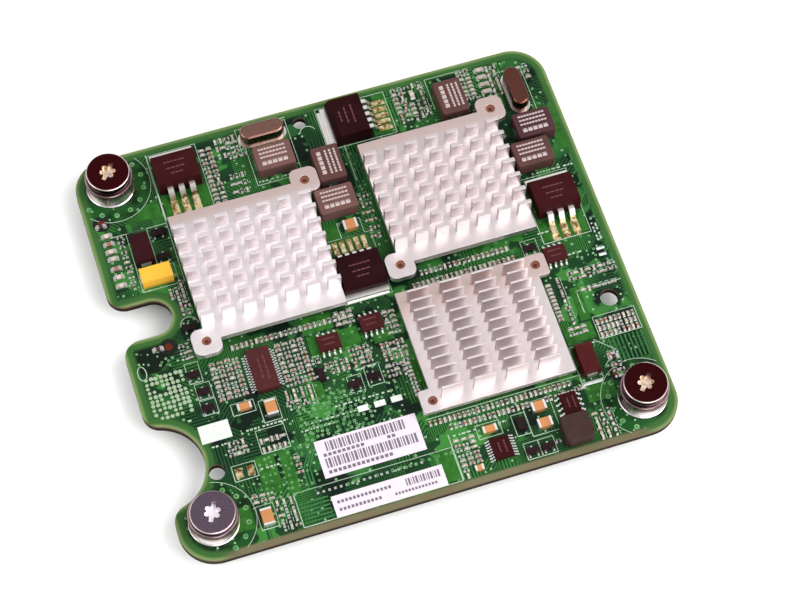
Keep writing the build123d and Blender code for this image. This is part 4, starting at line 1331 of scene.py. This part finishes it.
# %% Solder balls
BALL_PITCH = 1.27
BALL_R = 0.22
CHIP_MARGIN = 1.6
ROWS_SEEN = 2
centres = []
for name in named("grid_chip"):
    x, y, _ = middle(name)
    a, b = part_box(name)
    last_i, last_j = [int(((b[k] - a[k]) / MM - CHIP_MARGIN) / BALL_PITCH) for k in (0, 1)]
    for i in range(last_i + 1):
        for j in range(last_j + 1):
            if min(i, j, last_i - i, last_j - j) < ROWS_SEEN:
                at_x, at_y = x + (i - last_i / 2) * BALL_PITCH, y + (j - last_j / 2) * BALL_PITCH
                centres.append((at_x, at_y, TOP + BALL_R - 0.02))
grow("solder_balls", ball, points("balls", centres), "terminal", Radius=BALL_R, Material=SOLDER)

# %% [markdown]
# ## Sawn edges on the heat sinks
#
# The fins are sawn from an extrusion, and the burr is tumbled off, so every edge is very slightly
# round and catches the light. The CAD solids have sharp edges. A copy of each, with its loose
# triangles joined again, takes a narrow bevel and stands for the node.

# %% Rounded copies


def rounded(node, width):
    """A copy of a CAD node with its sharp edges rounded by width mm, which stands for the node."""
    name = node + "_rounded"
    mesh = bmesh.new()
    mesh.from_mesh(nodes[node].data)
    bmesh.ops.remove_doubles(mesh, verts=mesh.verts, dist=1e-6)
    bmesh.ops.dissolve_limit(mesh, angle_limit=0.01, verts=mesh.verts, edges=mesh.edges)
    source = add_object(node + "_source", settled(name, mesh, FINISHES[slots[node]]))
    bevel = source.modifiers.new("bevel", "BEVEL")
    bevel.width = width * MM
    bevel.segments = 1
    bevel.limit_method = "ANGLE"
    bevel.angle_limit = math.radians(40)
    bevel.harden_normals = True
    add_piece(name, evaluated(source), node)


for name in named("heat_sink"):
    rounded(name, 0.09)

# %% [markdown]
# ## Marks on the larger parts
#
# The tops of the larger parts carry plain bars, which are thin ribbons. Bars that are printed on
# the inductors are pale, and those burnt into the black chips can hardly be seen.

# %% Bars on inductors and regulators
MARK_H = 0.012


def mark_rows(node, rows):
    """Short plain bars on a part's top, along its longer side: rows of offset, length and count."""
    x, y, z = middle(node)
    x0, x1, y0, y1 = sides(node)
    turned = (y1 - y0) > (x1 - x0)
    found = []
    for offset, length, count in rows:
        piece_length = length / count
        for i in range(count):
            start = -length / 2 + i * piece_length
            pair = [(start, offset), (start + piece_length * 0.8, offset)]
            found.append([(x + b, y - a, z) if turned else (x + a, y + b, z) for a, b in pair])
    return found


thin, thick, faint = [], [], []
for name in named("inductor_"):
    if name != "inductor_terminals":
        thin += mark_rows(name, ((2.1, 6.4, 9), (1.05, 6.4, 8), (0.0, 6.4, 9)))
        thick += mark_rows(name, ((-1.6, 6.2, 5),))
for name in named("regulator_body"):
    faint += mark_rows(name, ((1.2, 5.0, 6), (-0.4, 4.4, 4), (-1.8, 3.0, 3)))
for name in named("chip_"):
    if name != "chip_leads":
        x0, x1, y0, y1 = sides(name)
        length = max(x1 - x0, y1 - y0)
        faint += mark_rows(name, ((0.8, length * 0.62, 5), (-0.5, length * 0.5, 4)))
FAINT = moulded("faint_mark", "5c3536", 0.6)
BARS = [
    ("inductor_bars", thin, 0.48, "inductor", MARK), ("inductor_thick_bars", thick, 1.0, "inductor", MARK),
    ("faint_bars", faint, 0.35, "chip", FAINT),
]
for name, drawn, width, slot, finish in BARS:
    grow(name, ribbon, paths(name + "_paths", drawn), slot, Width=width, Height=MARK_H, Material=finish)

# %% [markdown]
# The two stickers are printed with evenly spaced plain bars and dashes, which say nothing. The
# upright bars have three widths in turn.

# %% Bars on the stickers


def upright_bars(x0, x1, y, height, widths, gap):
    """Plain upright bars between x0 and x1."""
    outlines, x = [], x0
    while x < x1:
        width = widths[len(outlines) % len(widths)]
        outlines.append(rectangle(x, x + width, y - height / 2, y + height / 2))
        x += width + gap
    return outlines


def dashes(x0, x1, y, height, length, gap):
    """A row of short plain dashes."""
    starts = [x0 + i * (length + gap) for i in range(int((x1 - x0) / (length + gap)))]
    return [rectangle(x, x + length, y - height / 2, y + height / 2) for x in starts]


x0, x1, _, y1 = sides("sticker_square")
marks = upright_bars(x0 + 2.2, x1 - 3.0, y1 - 1.75, 2.3, (0.38, 0.2, 0.55), 0.27)
marks += upright_bars(x0 + 1.2, x1 - 1.6, y1 - 5.6, 2.3, (0.38, 0.55, 0.2), 0.27)
for start, end, down, height in ((1.2, 11.0, 3.65, 0.75), (15.6, 18.0, 3.65, 0.75), (1.2, 16.0, 7.7, 0.8)):
    marks += dashes(x0 + start, x0 + end, y1 - down, height, 0.75, 0.3)
x0, x1, _, y1 = sides("sticker_strip")
for end, down in ((13.6, 1.6), (11.0, 3.4)):
    marks += dashes(x0 + 1.0, x0 + end, y1 - down, 0.7, 0.6, 0.28)
marks += dashes(x0 + 13.4, x0 + 23.4, y1 - 3.6, 0.6, 0.5, 0.25)
marks += upright_bars(x0 + 16.4, x1 - 1.2, y1 - 1.7, 1.7, (0.3, 0.45, 0.15), 0.25)
plates("sticker_bars", marks, middle("sticker_square")[2], 0.01, LABEL_INK)

# %% [markdown]
# ## Springs
#
# A coil spring under each screw cap lifts the screw when it isn't tightened. As the screw goes
# down, the spring shortens towards the floor of its sleeve. A copy of each spring stands for the
# CAD one and rides on the card.

# the share of its length that each spring keeps at the end of its screw's travel
TRAVEL_KEEPS = {"rear_left": 0.52, "front_right": 0.52, "front_left": 0.65}
for place, kept in TRAVEL_KEEPS.items():
    node = "spring_" + place
    piece = add_piece(node + "_coil", nodes[node].data.copy(), node)
    x, y, _ = middle(node)
    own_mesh(piece)
    print(piece.name, "keeps", kept, "of its length")

# %% [markdown]
# Last, the box of the dressed model is set beside the box of the CAD model. The two have to
# agree, because nothing may stand out beyond the solids.

# %% The model's size, before and after
size = {"cad": [list(v) for v in cad_box], "visual": [list(v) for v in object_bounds()]}
